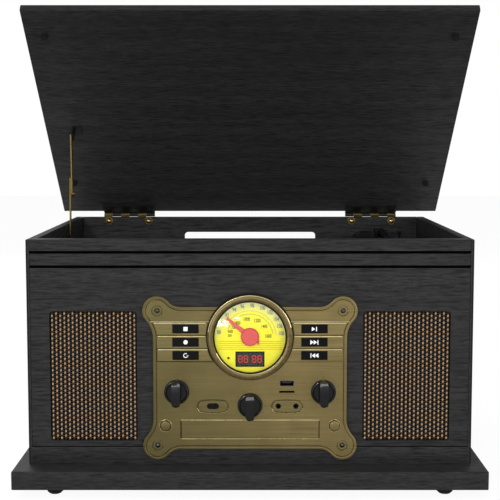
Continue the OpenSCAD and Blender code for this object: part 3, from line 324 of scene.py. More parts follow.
def makeBeadTree():
    # a round bead along the edges of the object's own mesh
    tree, given = openTree("beadAlongPath",
                           {"Radius": "Float", "Sides": "Int", "Material": "Material"})
    path = addNode(tree, "GeometryNodeMeshToCurve", {"Mesh": given["Geometry"]})
    circle = addNode(tree, "GeometryNodeCurvePrimitiveCircle",
                     {"Resolution": given["Sides"], "Radius": given["Radius"]})
    tube = addNode(tree, "GeometryNodeCurveToMesh",
                   {"Curve": path.outputs[0], "Profile Curve": circle.outputs[0],
                    "Fill Caps": True})
    return closeTree(tree, tube.outputs[0], given["Material"])


gridTree, ringTree, beadTree = makeGridTree(), makeRingTree(), makeBeadTree()
singleGrid = {"Columns": 1, "Rows": 1, "Column Pitch": 0.0, "Row Pitch": 0.0, "Stagger": 0.0,
              "Copies": 1, "Copy Pitch": 0.0}


def grow(name, shape, tree, values, place=(0, 0, 0)):
    # runs a tree on a small shape and moves the plain result to its place
    thing = newObject(name, shape)
    modifier = thing.modifiers.new(tree.name, "NODES")
    modifier.node_group = tree
    for item in tree.interface.items_tree:
        if item.in_out == "INPUT" and item.name in values:
            modifier[item.identifier] = values[item.name]
    settle(thing)
    thing.data.transform(Matrix.Translation(place))
    return thing


def pathMesh(points, closed=True):
    mesh = bpy.data.meshes.new("path")
    count = len(points)
    mesh.from_pydata(points, [(i, (i + 1) % count) for i in range(count if closed else count - 1)],
                     [])
    return mesh


def bead(name, points, radius, material, sides=8, closed=True):
    # a bead of one radius in mm along a list of (x, y, z) in metres
    return grow(name, pathMesh(points, closed), beadTree,
                {"Radius": radius * mm, "Sides": sides, "Material": material})


def dressBeads(name, lines, body, material, sides=8, closed=False):
    # one piece from several beads; lines is a list of (points in metres, radius in mm)
    meshes = []
    for points, radius in lines:
        line = bead("line", points, radius, material, sides, closed)
        meshes.append(line.data)
        bpy.data.objects.remove(line)
    return dress(joined(name, meshes), body, material)


def numberMesh(text, size, place, narrow=1.0, weight=0.0):
    # a printed number, a hair proud of what it is printed on
    curve = bpy.data.curves.new("number", "FONT")
    curve.body = text
    curve.size = size
    curve.align_x = "CENTER"
    curve.align_y = "CENTER"
    curve.resolution_u = 3
    curve.extrude = 0.02 * mm
    curve.offset = weight * mm
    words = newObject("number", curve)
    depsgraph = bpy.context.evaluated_depsgraph_get()
    mesh = bpy.data.meshes.new_from_object(words.evaluated_get(depsgraph))
    mesh.transform(Matrix.Translation(place) @ Matrix.Rotation(math.pi / 2, 4, "X")
                   @ Matrix.Diagonal((narrow, 1, 1, 1)))
    bpy.data.objects.remove(words)
    return mesh


# ---- camera, light and floor
print("stage: camera and light")

view = {
    "place": (0, -1.2772, 0.34185),
    "pitch": 84.62,
    "lens": 84.576,  # the photograph's angle of view on a 36 mm sensor
    "clip": (0.05, 20),
}
camera = bpy.data.objects.new("camera", bpy.data.cameras.new("camera"))
camera.location = view["place"]
camera.rotation_euler = (math.radians(view["pitch"]), 0, 0)
camera.data.lens = view["lens"]
camera.data.sensor_width = 36
camera.data.clip_start, camera.data.clip_end = view["clip"]
bpy.context.scene.collection.objects.link(camera)
bpy.context.scene.camera = camera
bpy.context.scene.view_settings.view_transform = "Standard"

lamps = {
    "keyLamp": {"place": (-1.0, -1.5, 1.45), "size": (0.56, 0.4), "watts": 14},
    "fillLamp": {"place": (1.1, -1.7, 0.36), "size": (0.9, 0.6), "watts": 11},
    "topLamp": {"place": (0.05, -0.5, 1.9), "size": (0.66, 0.24), "watts": 6},
    "frontLamp": {"place": (0.1, -2.3, 0.45), "size": (1.6, 0.9), "watts": 8},
    "rearLamp": {"place": (-0.7, 1.8, 1.2), "size": (1.6, 1.0), "watts": 15},
    # two small lamps low in front, for the two glints in the dial's lens
    "sparkUpper": {"place": (-0.188, -1.709, 0.192), "size": (0.11, 0.055), "watts": 1.3},
    "sparkLower": {"place": (-0.398, -1.624, 0.117), "size": (0.16, 0.09), "watts": 3.0},
}
aim = Vector((0, 0, 0.18))
for name, lamp in lamps.items():
    light = bpy.data.lights.new(name, "AREA")
    light.shape = "RECTANGLE"
    light.size, light.size_y = lamp["size"]
    light.energy = lamp["watts"]
    holder = bpy.data.objects.new(name, light)
    holder.location = lamp["place"]
    holder.rotation_euler = (aim - Vector(lamp["place"])).to_track_quat("-Z", "Y").to_euler()
    holder.visible_camera = False
    bpy.context.scene.collection.objects.link(holder)

surround = {"seen": 1.0, "light": 0.33}
world = bpy.data.worlds.new("paleStudio")
world.use_nodes = True
bpy.context.scene.world = world
tree = world.node_tree
tree.nodes.clear()
rays = addNode(tree, "ShaderNodeLightPath").outputs


def shownBackdrop(tree, rays):
    # 1 for the rays that show the backdrop: the camera's, mirror and clear ones
    direct = addNode(tree, "ShaderNodeMath",
                     {0: rays["Is Camera Ray"], 1: rays["Is Glossy Ray"]}, operation="MAXIMUM")
    return addNode(tree, "ShaderNodeMath",
                   {0: direct.outputs[0], 1: rays["Is Transmission Ray"]},
                   operation="MAXIMUM").outputs[0]


dim = addNode(tree, "ShaderNodeBackground", {"Color": toLinear("#ffffff"),
                                             "Strength": surround["light"]})
white = addNode(tree, "ShaderNodeBackground", {"Color": toLinear("#ffffff"),
                                               "Strength": surround["seen"]})
shown = addNode(tree, "ShaderNodeMixShader",
                {0: shownBackdrop(tree, rays), 1: dim.outputs[0], 2: white.outputs[0]})
addNode(tree, "ShaderNodeOutputWorld", {"Surface": shown.outputs[0]})

# white laminate floor: a matt sheet that shows white like the backdrop and still holds a shadow
floorSheet = {"radius": 6000, "colour": "#d8d8d8", "share": 0.85, "glow": 1.1}
floorPaint = bpy.data.materials.new("paleFloorSheet")
floorPaint.use_nodes = True
tree = floorPaint.node_tree
tree.nodes.clear()
rays = addNode(tree, "ShaderNodeLightPath").outputs
matt = addNode(tree, "ShaderNodeBsdfDiffuse", {"Color": toLinear(floorSheet["colour"])})
glow = addNode(tree, "ShaderNodeEmission", {"Color": toLinear("#ffffff"),
                                            "Strength": floorSheet["glow"]})
share = addNode(tree, "ShaderNodeMath", {0: shownBackdrop(tree, rays), 1: floorSheet["share"]},
                operation="MULTIPLY")
both = addNode(tree, "ShaderNodeMixShader",
               {0: share.outputs[0], 1: matt.outputs[0], 2: glow.outputs[0]})
addNode(tree, "ShaderNodeOutputMaterial", {"Surface": both.outputs[0]})
floor = newObject("floor", lathe([(0, 0), (floorSheet["radius"], 0)], (0, 0, 0), (0, 0, 1), 64,
                                 closed=False))
floor.data.materials.append(floorPaint)

# ---- materials
print("stage: materials")


def openMaterial(name):
    material = bpy.data.materials.new(name)
    material.use_nodes = True
    material.node_tree.nodes.clear()
    place = addNode(material.node_tree, "ShaderNodeTexCoord").outputs["Object"]
    return material, material.node_tree, place


def closeMaterial(tree, sockets):
    surface = addNode(tree, "ShaderNodeBsdfPrincipled", sockets)
    addNode(tree, "ShaderNodeOutputMaterial", {"Surface": surface.outputs[0]})


def patternNoise(tree, place, sizes, detail=4, roughness=0.55, seed=0.0):
    # noise whose grain measures sizes, in mm, along X, Y and Z
    stretched = addNode(tree, "ShaderNodeMapping",
                        {"Vector": place, "Location": (seed, seed * 0.7, seed * 1.3),
                         "Scale": [1 / (s * mm) for s in sizes]})
    return addNode(tree, "ShaderNodeTexNoise",
                   {"Vector": stretched.outputs[0], "Scale": 1.0, "Detail": detail,
                    "Roughness": roughness}).outputs["Fac"]


def tone(tree, factor, low, high, dark, light):
    # factor between low and high becomes a mix of two linear colours
    share = addNode(tree, "ShaderNodeMapRange",
                    {"Value": factor, "From Min": low, "From Max": high}).outputs[0]
    return addNode(tree, "ShaderNodeMix", {0: share, 6: dark, 7: light},
                   data_type="RGBA").outputs[2]


def relief(tree, height, low, high, depth, strength=0.5):
    # roughness from low to high and a bump of depth mm, both from one pattern
    rough = addNode(tree, "ShaderNodeMapRange",
                    {"Value": height, "From Min": 0.3, "From Max": 0.7,
                     "To Min": low, "To Max": high})
    bump = addNode(tree, "ShaderNodeBump",
                   {"Height": height, "Strength": strength, "Distance": depth * mm})
    return {"Roughness": rough.outputs[0], "Normal": bump.outputs[0]}


veneer = {
    "poreSize": (17, 1.35),  # mm along and across; real pores are 0.3 mm wide, too fine to show
    "ringPitch": 17,
    "ringStretch": 11,
    "mottleSize": 2.8,
    "roughness": (0.7, 0.52),
    "specular": 0.1,
}


def ashVeneer(name, grain, wood, deep, pore, under=None):
    # ash veneer stained black under matt lacquer: dark open pores run along the grain over slow
    # growth rings, and the lacquer keeps it from shining
    material, tree, place = openMaterial(name)
    along = lambda long, across: [long if axis == grain else across for axis in "XYZ"]
    pores = patternNoise(tree, place, along(*veneer["poreSize"]), 4, 0.62)
    mottle = patternNoise(tree, place, along(veneer["mottleSize"] * 2.2, veneer["mottleSize"]),
                          3, 0.65, 3.1)
    pitch = veneer["ringPitch"]
    ringPlace = addNode(tree, "ShaderNodeMapping",
                        {"Vector": place,
                         "Scale": [1 / (s * mm) for s in along(pitch * veneer["ringStretch"], pitch)]})
    rings = addNode(tree, "ShaderNodeTexWave",
                    {"Vector": ringPlace.outputs[0], "Scale": 0.314, "Distortion": 7.0,
                     "Detail": 2.0, "Detail Scale": 1.4, "Detail Roughness": 0.45},
                    wave_type="BANDS", bands_direction="Z" if grain == "X" else "DIAGONAL")
    ringed = tone(tree, rings.outputs["Fac"], 0.1, 0.9, toLinear(deep), toLinear(wood))
    calmed = addNode(tree, "ShaderNodeMix", {0: 0.45, 6: toLinear(wood), 7: ringed},
                     data_type="RGBA").outputs[2]
    pored = tone(tree, pores, 0.34, 0.56, toLinear(pore), calmed)
    speckle = addNode(tree, "ShaderNodeMapRange",
                      {"Value": mottle, "From Min": 0.3, "From Max": 0.7,
                       "To Min": 0.82, "To Max": 1.18}).outputs[0]
    # under paints light: the colour is scaled by a gradient along Y on what lies below a level
    if under:
        height = addNode(tree, "ShaderNodeVectorMath", {0: place, 1: under["outward"]},
                         operation="DOT_PRODUCT").outputs["Value"]
        below = addNode(tree, "ShaderNodeMath", {0: height, 1: under["level"]},
                        operation="LESS_THAN").outputs[0]
        depth = addNode(tree, "ShaderNodeSeparateXYZ", {0: place}).outputs["Y"]
        paler = addNode(tree, "ShaderNodeMapRange",
                        {"Value": depth, "From Min": under["from"][0], "From Max": under["to"][0],
                         "To Min": under["from"][1], "To Max": under["to"][1]}).outputs[0]
        share = addNode(tree, "ShaderNodeMix", {0: below, 2: under["from"][1], 3: paler},
                        data_type="FLOAT").outputs[0]
        speckle = addNode(tree, "ShaderNodeMath", {0: speckle, 1: share},
                          operation="MULTIPLY").outputs[0]
    colour = addNode(tree, "ShaderNodeVectorMath", {0: pored, "Scale": speckle}, operation="SCALE")
    closeMaterial(tree, {"Base Color": colour.outputs[0],
                         "Specular IOR Level": veneer["specular"],
                         **relief(tree, pores, *veneer["roughness"], 0.14, 0.4)})
    return material


antique = {
    # left and right: the colours at each side; the change between them along X is painted shade
    "left": ("#514a2f", "#62593a"),
    "right": ("#685c3b", "#7c6e48"),
    "reach": (-0.085, 0.05),
    "brush": (80, 0.95),  # mm along and across the brushing, coarser than the real 0.1 mm to show
    "tarnish": 24,
    "roughness": (0.34, 0.48),
}


def brushedBrass(name, lightness=1.0, roughness=antique["roughness"]):
    # antique brass, brushed across its width and lacquered: olive where tarnished, with fine
    # lines that draw the highlights out sideways, and painted shade that darkens it towards the left
    material, tree, place = openMaterial(name)
    lines = patternNoise(tree, place, (antique["brush"][0], *[antique["brush"][1]] * 2), 4, 0.68)
    cloud = patternNoise(tree, place, [antique["tarnish"]] * 3, 3, 0.5, 5.0)
    # painted shade: darker towards the left along X, lighter to the right
    across = addNode(tree, "ShaderNodeSeparateXYZ", {0: place}).outputs["X"]
    dull, bright = (tone(tree, across, *antique["reach"], *(toLinear(antique[side][i])
                                                            for side in ("left", "right")))
                    for i in (0, 1))
    brushed = tone(tree, lines, 0.33, 0.67, dull, bright)
    clouded = addNode(tree, "ShaderNodeMapRange",
                      {"Value": cloud, "From Min": 0.3, "From Max": 0.7,
                       "To Min": 0.9 * lightness, "To Max": 1.08 * lightness}).outputs[0]
    colour = addNode(tree, "ShaderNodeVectorMath", {0: brushed, "Scale": clouded},
                     operation="SCALE")
    closeMaterial(tree, {"Base Color": colour.outputs[0], "Metallic": 1.0,
                         **relief(tree, lines, *roughness, 0.03, 0.25)})
    return material


def grained(name, finish):
    # one grain of a real size varies colour, roughness and height together
    dark, light, grain, roughness, depth, fixed = finish
    material, tree, place = openMaterial(name)
    sizes = grain if isinstance(grain, tuple) else (grain,) * 3
    grit = patternNoise(tree, place, sizes)
    colour = tone(tree, grit, 0.3, 0.7, toLinear(dark), toLinear(light))
    closeMaterial(tree, {"Base Color": colour, **relief(tree, grit, *roughness, depth), **fixed})
    return material


solidMetal = {"Metallic": 1.0}
dullBlack = {"Specular IOR Level": 0.12}
finishes = {  # dark, light, grain in mm, roughness, bump in mm, fixed sockets
    # painted highlight: pale brass for beads along edges where they would catch the light
    "paleBrassHighlight": ("#cdbf8a", "#ece0b0", (14, 3, 3), (0.24, 0.32), 0.003, solidMetal),
    # painted highlight: pale brass on the rings round the round openings, where they would catch the
    # light
    "paleBrassLipHighlight": ("#8f8256", "#b3a574", 2.0, (0.24, 0.34), 0.003, solidMetal),
    # spun brass ring, tarnished olive with a fine turned grain
    "spunDialRingBrass": ("#4b4129", "#5a4f33", 2.2, (0.26, 0.38), 0.01, solidMetal),
    # hinge and stay plating, yellow chromate gone olive
    "tarnishedHingeBrass": ("#453b20", "#665731", (5, 1, 1), (0.34, 0.48), 0.01, solidMetal),
    # bolt heads, cast and tumbled bright
    "tumbledBoltBrass": ("#8d7b4a", "#b5a06a", 1.6, (0.2, 0.3), 0.02, solidMetal),
    # painted shade: dark brass put in the engraved groove and in the gaps round openings, where shade
    # falls
    "engravedLineShade": ("#3a331e", "#4d442a", 2.0, (0.5, 0.6), 0.01, solidMetal),
    "brassGapShade": ("#17140c", "#262113", 1.5, (0.6, 0.75), 0.01, dullBlack),
    # black-oxided screw under oil: a wet black dome with a hard glint
    "blackOxideScrew": ("#09090a", "#131314", 0.8, (0.08, 0.16), 0.005, {}),
    "drawnSteel": ("#9ea2a6", "#c4c8cc", (40, 1, 1), (0.2, 0.34), 0.01, solidMetal),
    # zinc plate, a cloudy grey with a faint spangle
    "zincPlatedSteel": ("#8c9194", "#b4b9bb", 9, (0.34, 0.5), 0.01, solidMetal),
    # blued and oiled steel, nearly black and dull
    "blackenedSteel": ("#0d0c0b", "#1a1917", 3, (0.4, 0.55), 0.01, {"Specular IOR Level": 0.25}),
    # tin shell of a port, grey and slightly rough from folding
    "portShellSteel": ("#4a505a", "#6b727c", 2, (0.3, 0.42), 0.01, solidMetal),
    "goldContact": ("#8d7136", "#b8964c", 0.8, (0.22, 0.32), 0.003, solidMetal),
    # painted highlight: grey metal lines on the knobs' edges, where they would catch the light
    "knobEdgeHighlight": ("#3e3e42", "#66666b", (3, 3, 6), (0.2, 0.3), 0.003, solidMetal),
    # spark-eroded ABS: an even fine grain that breaks the sheen
    "blackAbsMoulded": ("#101012", "#19191b", 0.6, (0.45, 0.6), 0.02, {"Specular IOR Level": 0.2}),
    "blackArmPlastic": ("#060607", "#0c0c0d", 0.6, (0.35, 0.5), 0.02, dullBlack),
    "blackDeckPlastic": ("#141415", "#1d1d1f", 0.9, (0.5, 0.64), 0.03,
                         {"Specular IOR Level": 0.2}),
    # polished phenolic-look plastic of the knobs: deep black, sharp highlights
    "glossBlackPlastic": ("#060607", "#0c0c0e", 3.0, (0.1, 0.17), 0.008,
                          {"Specular IOR Level": 0.2}),
    # smoked infra-red window
    "smokedWindow": ("#050506", "#0b0a0c", 2.0, (0.16, 0.24), 0.005, {"Specular IOR Level": 0.1}),
    "blackRubber": ("#0f0f0f", "#191919", 0.8, (0.74, 0.88), 0.05, dullBlack),
    # near black: the grille's backing board, and painted shade in the front grooves and the skirt's seam
    "blackBackingAndGapShade": ("#020202", "#050505", 0.7, (0.92, 1.0), 0.06, {"Specular IOR Level": 0.0}),
    # black strips on the side panels' front edges and on the top rims; on the rims they are painted
    # shade
    "blackEdgeAndRimShade": ("#0b0b0b", "#181818", 1.4, (0.6, 0.75), 0.03, dullBlack),
    "blackPlatterPaint": ("#151516", "#212123", 1.2, (0.4, 0.52), 0.02,
                          {"Specular IOR Level": 0.25}),
    # raw pine: long pale grain with darker late wood
    "pineCleat": ("#8d7048", "#b08e5e", (60, 1.6, 2.4), (0.6, 0.75), 0.05, {}),
    "greenSolderMask": ("#1f4a2a", "#2d5f37", 4.0, (0.3, 0.42), 0.02, {}),
    # stacked sheets, seen as fine lines
    "siliconSteelLaminations": ("#4e5256", "#8b9095", (30, 30, 0.7), (0.35, 0.5), 0.1, solidMetal),
    "pressedConePaper": ("#1b1a19", "#242220", 1.6, (0.75, 0.9), 0.15, dullBlack),
    # screen-printed inks, uneven where the screen left them thin
    "darkBrassInk": ("#3b3420", "#4c4330", 1.2, (0.5, 0.6), 0.002, dullBlack),
    "blackDialInk": ("#16160f", "#2c2c20", 1.0, (0.45, 0.55), 0.002, dullBlack),
    "greyBlueDialInk": ("#485673", "#6a7894", 1.2, (0.45, 0.55), 0.002, dullBlack),
    "ochreDialInk": ("#8f8322", "#aea032", 5.0, (0.45, 0.55), 0.002, dullBlack),
    "whiteKeyInk": ("#e4e4e4", "#fbfbfb", 1.2, (0.4, 0.5), 0.002, {}),
    "blackKeyPlate": ("#040405", "#0a0a0b", 1.6, (0.34, 0.46), 0.005, {"Specular IOR Level": 0.05}),
    "redPointerPlastic": ("#cc3a48", "#d84a56", 1.0, (0.34, 0.44), 0.01, {}),
    "darkRedPointerRim": ("#ae2044", "#c02c50", 1.0, (0.34, 0.44), 0.01, {}),
    # twisted yarn of the cloth, tan on the crown, slate cross threads; the dark brown cores beside the
    # beads are painted shade
    "tanTwistedYarn": ("#8f6e4c", "#bc9b74", 0.7, (0.7, 0.85), 0.12, dullBlack),
    "brownCoreYarnShade": ("#231b13", "#3c2d1e", 0.8, (0.8, 0.92), 0.12, dullBlack),
    "slateThread": ("#2b3a48", "#50647a", 0.9, (0.6, 0.75), 0.04, dullBlack),
    "redSocketRing": ("#8e1f24", "#b03036", 2.0, (0.34, 0.44), 0.01, {}),
    "whiteSocketRing": ("#c9c9c6", "#e2e2de", 2.0, (0.34, 0.44), 0.01, {}),
}
paint = {name: grained(name, finish) for name, finish in finishes.items()}
paint["ashFront"] = ashVeneer("blackAshVeneerFront", "X", "#2c2c2c", "#232323", "#171718")
paint["ashBack"] = ashVeneer("blackAshVeneerBack", "X", "#3a3a3a", "#2e2e2f", "#202021")
paint["ashSkirt"] = ashVeneer("blackAshVeneerSkirt", "X", "#2c2c2d", "#222223", "#161617")
paint["ashSide"] = ashVeneer("blackAshVeneerSide", "Y", "#303031", "#262627", "#1a1a1b")
# painted light: the lid's underside is paler towards the hinge and darker at its front; it is what lies
# below a level that is measured square to the open lid, 5 mm above the pin; from and to are (y in
# metres, brightness)
tilt = math.radians(hingeLine["open"])
outward = (0, math.sin(tilt), math.cos(tilt))
lidUnderPaintedLight = {"outward": outward, "level": Vector(outward).dot((0, *hingeLine["pin"])) * mm + 5 * mm,
            "from": (-0.075, 0.66), "to": (0.18, 1.7)}
paint["ashLid"] = ashVeneer("blackAshVeneerLid", "X", "#2e2e2f", "#232324", "#171718", lidUnderPaintedLight)
paint["brass"] = brushedBrass("antiqueBrassBrushed", 0.69)
paint["brassKey"] = brushedBrass("antiqueBrassKeys", 0.75, (0.28, 0.4))

# yellow dial card: printed paper lit by the lamp behind it, paler towards its upper edge
dialCardTone = {"yellow": ("#e8e12e", "#f2ec4a"), "pale": "#d2d7c4", "glow": 0.1,
                "paleFrom": (23, 36), "paleAbove": (-6, 20)}
paint["dialCard"], tree, place = openMaterial("yellowDialCard")
centred = addNode(tree, "ShaderNodeMapping",
                  {"Vector": place, "Location": (-dialCentre.x, 0, -dialCentre.z)}).outputs[0]
flatPlace = addNode(tree, "ShaderNodeVectorMath", {0: centred, 1: (1, 0, 1)},
                    operation="MULTIPLY").outputs[0]
reach = addNode(tree, "ShaderNodeVectorMath", {0: flatPlace}, operation="LENGTH").outputs["Value"]
height = addNode(tree, "ShaderNodeSeparateXYZ", {0: centred}).outputs["Z"]
nearRim, upper = (addNode(tree, "ShaderNodeMapRange",
                          {"Value": value, "From Min": dialCardTone[key][0] * mm,
                           "From Max": dialCardTone[key][1] * mm}).outputs[0]
                  for value, key in ((reach, "paleFrom"), (height, "paleAbove")))
pale = addNode(tree, "ShaderNodeMath", {0: nearRim, 1: upper}, operation="MULTIPLY").outputs[0]
fibre = patternNoise(tree, place, (5, 5, 0.9), 3, 0.6)
yellow = tone(tree, fibre, 0.3, 0.7, *(toLinear(code) for code in dialCardTone["yellow"]))
faded = addNode(tree, "ShaderNodeMix", {0: pale, 6: yellow, 7: toLinear(dialCardTone["pale"])},
                data_type="RGBA").outputs[2]
closeMaterial(tree, {"Base Color": faded, "Emission Color": faded,
                     "Emission Strength": dialCardTone["glow"], "Specular IOR Level": 0.1,
                     **relief(tree, fibre, 0.4, 0.5, 0.01)})

# display window: smoked filter over a dark circuit, faintly green
paint["displayFilter"] = grained("smokedDisplayFilter",
                                 ("#1c2426", "#2a3632", 3.0, (0.24, 0.34), 0.01, dullBlack))
# red light-emitting segments behind the filter
paint["segmentRed"] = grained("redLedSegments", (
    "#c01c34", "#d42a40", 1.0, (0.4, 0.5), 0.002,
    {"Emission Color": toLinear("#e82038"), "Emission Strength": 0.9, **dullBlack}))

# clear acrylic lens with a hard coat that dims its mirror: only lamps show in it
lensFinish = {"tint": "#fdfdf6", "coatIor": 1.24, "roughness": 0.04, "ripple": 9}
paint["clearAcrylic"], tree, place = openMaterial("clearAcrylic")
through = addNode(tree, "ShaderNodeBsdfTransparent", {"Color": toLinear(lensFinish["tint"])})
wave = patternNoise(tree, place, [lensFinish["ripple"]] * 3, 2, 0.5)
ripple = addNode(tree, "ShaderNodeBump", {"Height": wave, "Strength": 0.1, "Distance": 0.006 * mm})
mirror = addNode(tree, "ShaderNodeBsdfGlossy",
                 {"Color": toLinear("#ffffff"), "Roughness": lensFinish["roughness"],
                  "Normal": ripple.outputs[0]})
edge = addNode(tree, "ShaderNodeFresnel", {"IOR": lensFinish["coatIor"]})
mixed = addNode(tree, "ShaderNodeMixShader",
                {0: edge.outputs[0], 1: through.outputs[0], 2: mirror.outputs[0]})
addNode(tree, "ShaderNodeOutputMaterial", {"Surface": mixed.outputs[0]})

nodeFinish = {
    "ashFront": ["plinth", "front_panel"], "ashBack": ["back_panel"],
    "ashSide": ["side_panels"],
    "ashLid": ["lid"], "pineCleat": ["deck_cleats"], "blackDeckPlastic": ["turntable_deck"],
    "brass": ["fascia_plate", "drawer_front"],
    "blackRubber": ["feet", "drive_belt", "lid_bumpers", "platter_mat"],
    "blackOxideScrew": ["fascia_screws"], "spunDialRingBrass": ["dial_bezel"],
    "clearAcrylic": ["dial_glass"], "dialCard": ["dial_face"],
    "displayFilter": ["display_module"], "greenSolderMask": ["circuit_boards"],
    "smokedWindow": ["front_sockets"],
    "zincPlatedSteel": ["knob_controls", "disc_mechanism", "drive_motor"],
    "blackBackingAndGapShade": ["speaker_grilles"], "pressedConePaper": ["speaker_cones"],
    "siliconSteelLaminations": ["transformer"],
    "blackAbsMoulded": ["terminal_panel", "rear_sockets", "disc_tray"],
    "blackArmPlastic": ["tonearm_base", "tonearm_tube", "headshell", "cue_lever", "cue_lift"],
    "tarnishedHingeBrass": ["hinge_wall_leaves", "stay_arm", "stay_rod"],
    "drawnSteel": ["hinge_pins", "record_spindle", "speed_lever"],
    "tumbledBoltBrass": ["hinge_bolts", "motor_pulley"],
    "blackenedSteel": ["speaker_frames", "stay_wall_bracket", "hinge_lid_leaves",
                       "stay_lid_bracket", "tonearm_gimbal"],
    "glossBlackPlastic": ["function_knob", "tuning_knob", "volume_knob"],
    "redPointerPlastic": ["dial_pointer"], "blackPlatterPaint": ["platter"],
    "brassKey": ["key_stop", "key_record", "key_repeat", "key_play", "key_next", "key_previous",
                 "power_button", "drawer_button"],
}
finishOf = {node: paint[name] for name, owners in nodeFinish.items() for node in owners}
for node in nodes:
    nodes[node].data.materials.clear()
    nodes[node].data.materials.append(finishOf[node])

# ---- rounded copies of turned and cut parts
print("stage: rounded parts")

rounding = {  # node: body, slot, radius in mm, segments
    "plinth": ("cabinet", "black_ash_veneer", 0.9, 3),
    "lid": ("lid", "black_ash_veneer", 0.7, 3),
    "function_knob": ("function_knob", "gloss_black_plastic", 0.7, 3),
    "tuning_knob": ("tuning_knob", "gloss_black_plastic", 0.7, 3),
    "volume_knob": ("volume_knob", "gloss_black_plastic", 0.7, 3),
    "power_button": ("power_button", "antique_brass", 0.45, 3),
    "drawer_button": ("drawer_button", "antique_brass", 0.45, 3),
    "drawer_front": ("disc_drawer", "antique_brass", 0.4, 2),
    "headshell": ("tonearm", "black_plastic", 0.5, 2),
    "cue_lever": ("cue_lever", "black_plastic", 0.4, 2),
    "feet": ("cabinet", "black_rubber", 0.8, 3),
}
for key in ("stop", "record", "repeat", "play", "next", "previous"):
    rounding["key_" + key] = ("key_" + key, "antique_brass", 0.5, 2)
for node, (body, slot, radius, segments) in rounding.items():
    piece = softCopy(node, node + "_rounded", radius * mm, segments)
    dress(piece, body, finishOf[node], [node])

# ---- cabinet: painted shade in the grooves, dark edge strips, skirt board and its seam
print("stage: cabinet trim")

cabinetTrim = {  # mm
    "grooveHalf": 211.4, "grooves": (220.25, 234.15), "grooveTall": 2.5, "grooveDepth": (0.35, 2.4),
    "edgeX": (213.3, 214.95), "rimX": (207.4, 213.4), "rimY": (-142, 169), "proud": 0.08,
    "sunk": 0.3, "halfWidth": 211.9, "skirtTop": 44.2, "skirtDepth": (-0.3, 0.5),
    "seam": (-0.1, 0.8), "seamSunk": 0.4, "skirtUp": 0.1,
}
front = frontFace / mm
foot, top = (corner.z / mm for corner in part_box("front_panel"))
grooveHalf, grooves, tall = (cabinetTrim[key] for key in ("grooveHalf", "grooves", "grooveTall"))
nearFace, farFace = (front + depth for depth in cabinetTrim["grooveDepth"])
# painted shade: near-black blocks inside the two front grooves
grooveShadeBlock = plank((-grooveHalf, nearFace, -tall / 2), (grooveHalf, farFace, tall / 2), 0.15, 1)
grooveShadePiece = grow("grooveShade", grooveShadeBlock, gridTree,
               {**singleGrid, "Rows": 2, "Row Pitch": (grooves[1] - grooves[0]) * mm,
                "Material": paint["blackBackingAndGapShade"]},
               (0, 0, sum(grooves) / 2 * mm))
dress(grooveShadePiece, "cabinet")
proud, sunk = cabinetTrim["proud"], cabinetTrim["sunk"]
# black strips on the front edges, and painted shade on the top rims
edges = []
for side in (-1, 1):
    near, far = sorted(side * x for x in cabinetTrim["edgeX"])
    edges.append(plank((near, front - proud, foot + sunk), (far, front + sunk, top - sunk), 0.06, 1))
    near, far = sorted(side * x for x in cabinetTrim["rimX"])
    rimStart, rimEnd = cabinetTrim["rimY"]
    edges.append(plank((near, rimStart, top - sunk), (far, rimEnd, top + proud), 0.06, 1))
dress(joined("darkEdgeStrips", edges), "cabinet", paint["blackEdgeAndRimShade"])
halfWidth, skirtTop = cabinetTrim["halfWidth"], cabinetTrim["skirtTop"]
nearFace, farFace = (front + depth for depth in cabinetTrim["skirtDepth"])
skirt = newObject("skirtBoard", plank((-halfWidth, nearFace, foot + cabinetTrim["skirtUp"]),
                                      (halfWidth, farFace, skirtTop), 0.15, 2))
dress(smoothed(skirt), "cabinet", paint["ashSkirt"])
# painted shadow: a near-black line along the top of the skirt board
seamLow, seamHigh = (skirtTop + height for height in cabinetTrim["seam"])
seam = newObject("skirtSeamShadow", plank((-halfWidth, front - proud, seamLow),
                                    (halfWidth, front + cabinetTrim["seamSunk"], seamHigh), 0.06, 1))
dress(seam, "cabinet", paint["blackBackingAndGapShade"])

# ---- brass plate: rolled edge and engraved border, with painted shade and highlight lines
print("stage: brass plate")

plateShape = {  # mm
    "width": 186.6, "height": 138.7,
    "ear": 14, "earIn": 3.9, "earDown": 3.55,
    "topFillet": 16.3, "sideFillet": 24.8, "ringGap": 30.2,
    "lines": {  # piece: inset, depth behind the plate's face, radius, sides, finish
        "plateRolledEdge": (1.15, 1.0, 1.2, 14, "brass"),
        "plateBorderLine": (3.45, 0.12, 0.32, 8, "brassKey"),
        # the dark line in the engraved groove is painted shade
        "plateBorderShade": (2.9, 0.12, 0.2, 6, "engravedLineShade"),
    },
}


def plateQuarter(inset):
    # top edge, hollow curve, ear, hollow curve and side edge, moved inwards by inset
    halfW, halfH = plateShape["width"] / 2 - inset, plateShape["height"] / 2 - inset
    ear = (plateShape["width"] / 2 - plateShape["earIn"],
           plateShape["height"] / 2 - plateShape["earDown"])
    earR = plateShape["ear"] - inset
    topR, sideR = plateShape["topFillet"] + inset, plateShape["sideFillet"] + inset
    top = (ear[0] - math.sqrt((earR + topR) ** 2 - (halfH + topR - ear[1]) ** 2), halfH + topR)
    side = (halfW + sideR, ear[1] - math.sqrt((earR + sideR) ** 2 - (halfW + sideR - ear[0]) ** 2))
    toTop = math.degrees(math.atan2(top[1] - ear[1], top[0] - ear[0]))
    toSide = math.degrees(math.atan2(side[1] - ear[1], side[0] - ear[0]))
    return (arcPoints(top, topR, -90, toTop - 180, 10) + arcPoints(ear, earR, toTop, toSide, 22)
            + arcPoints(side, sideR, toSide + 180, 180, 10))


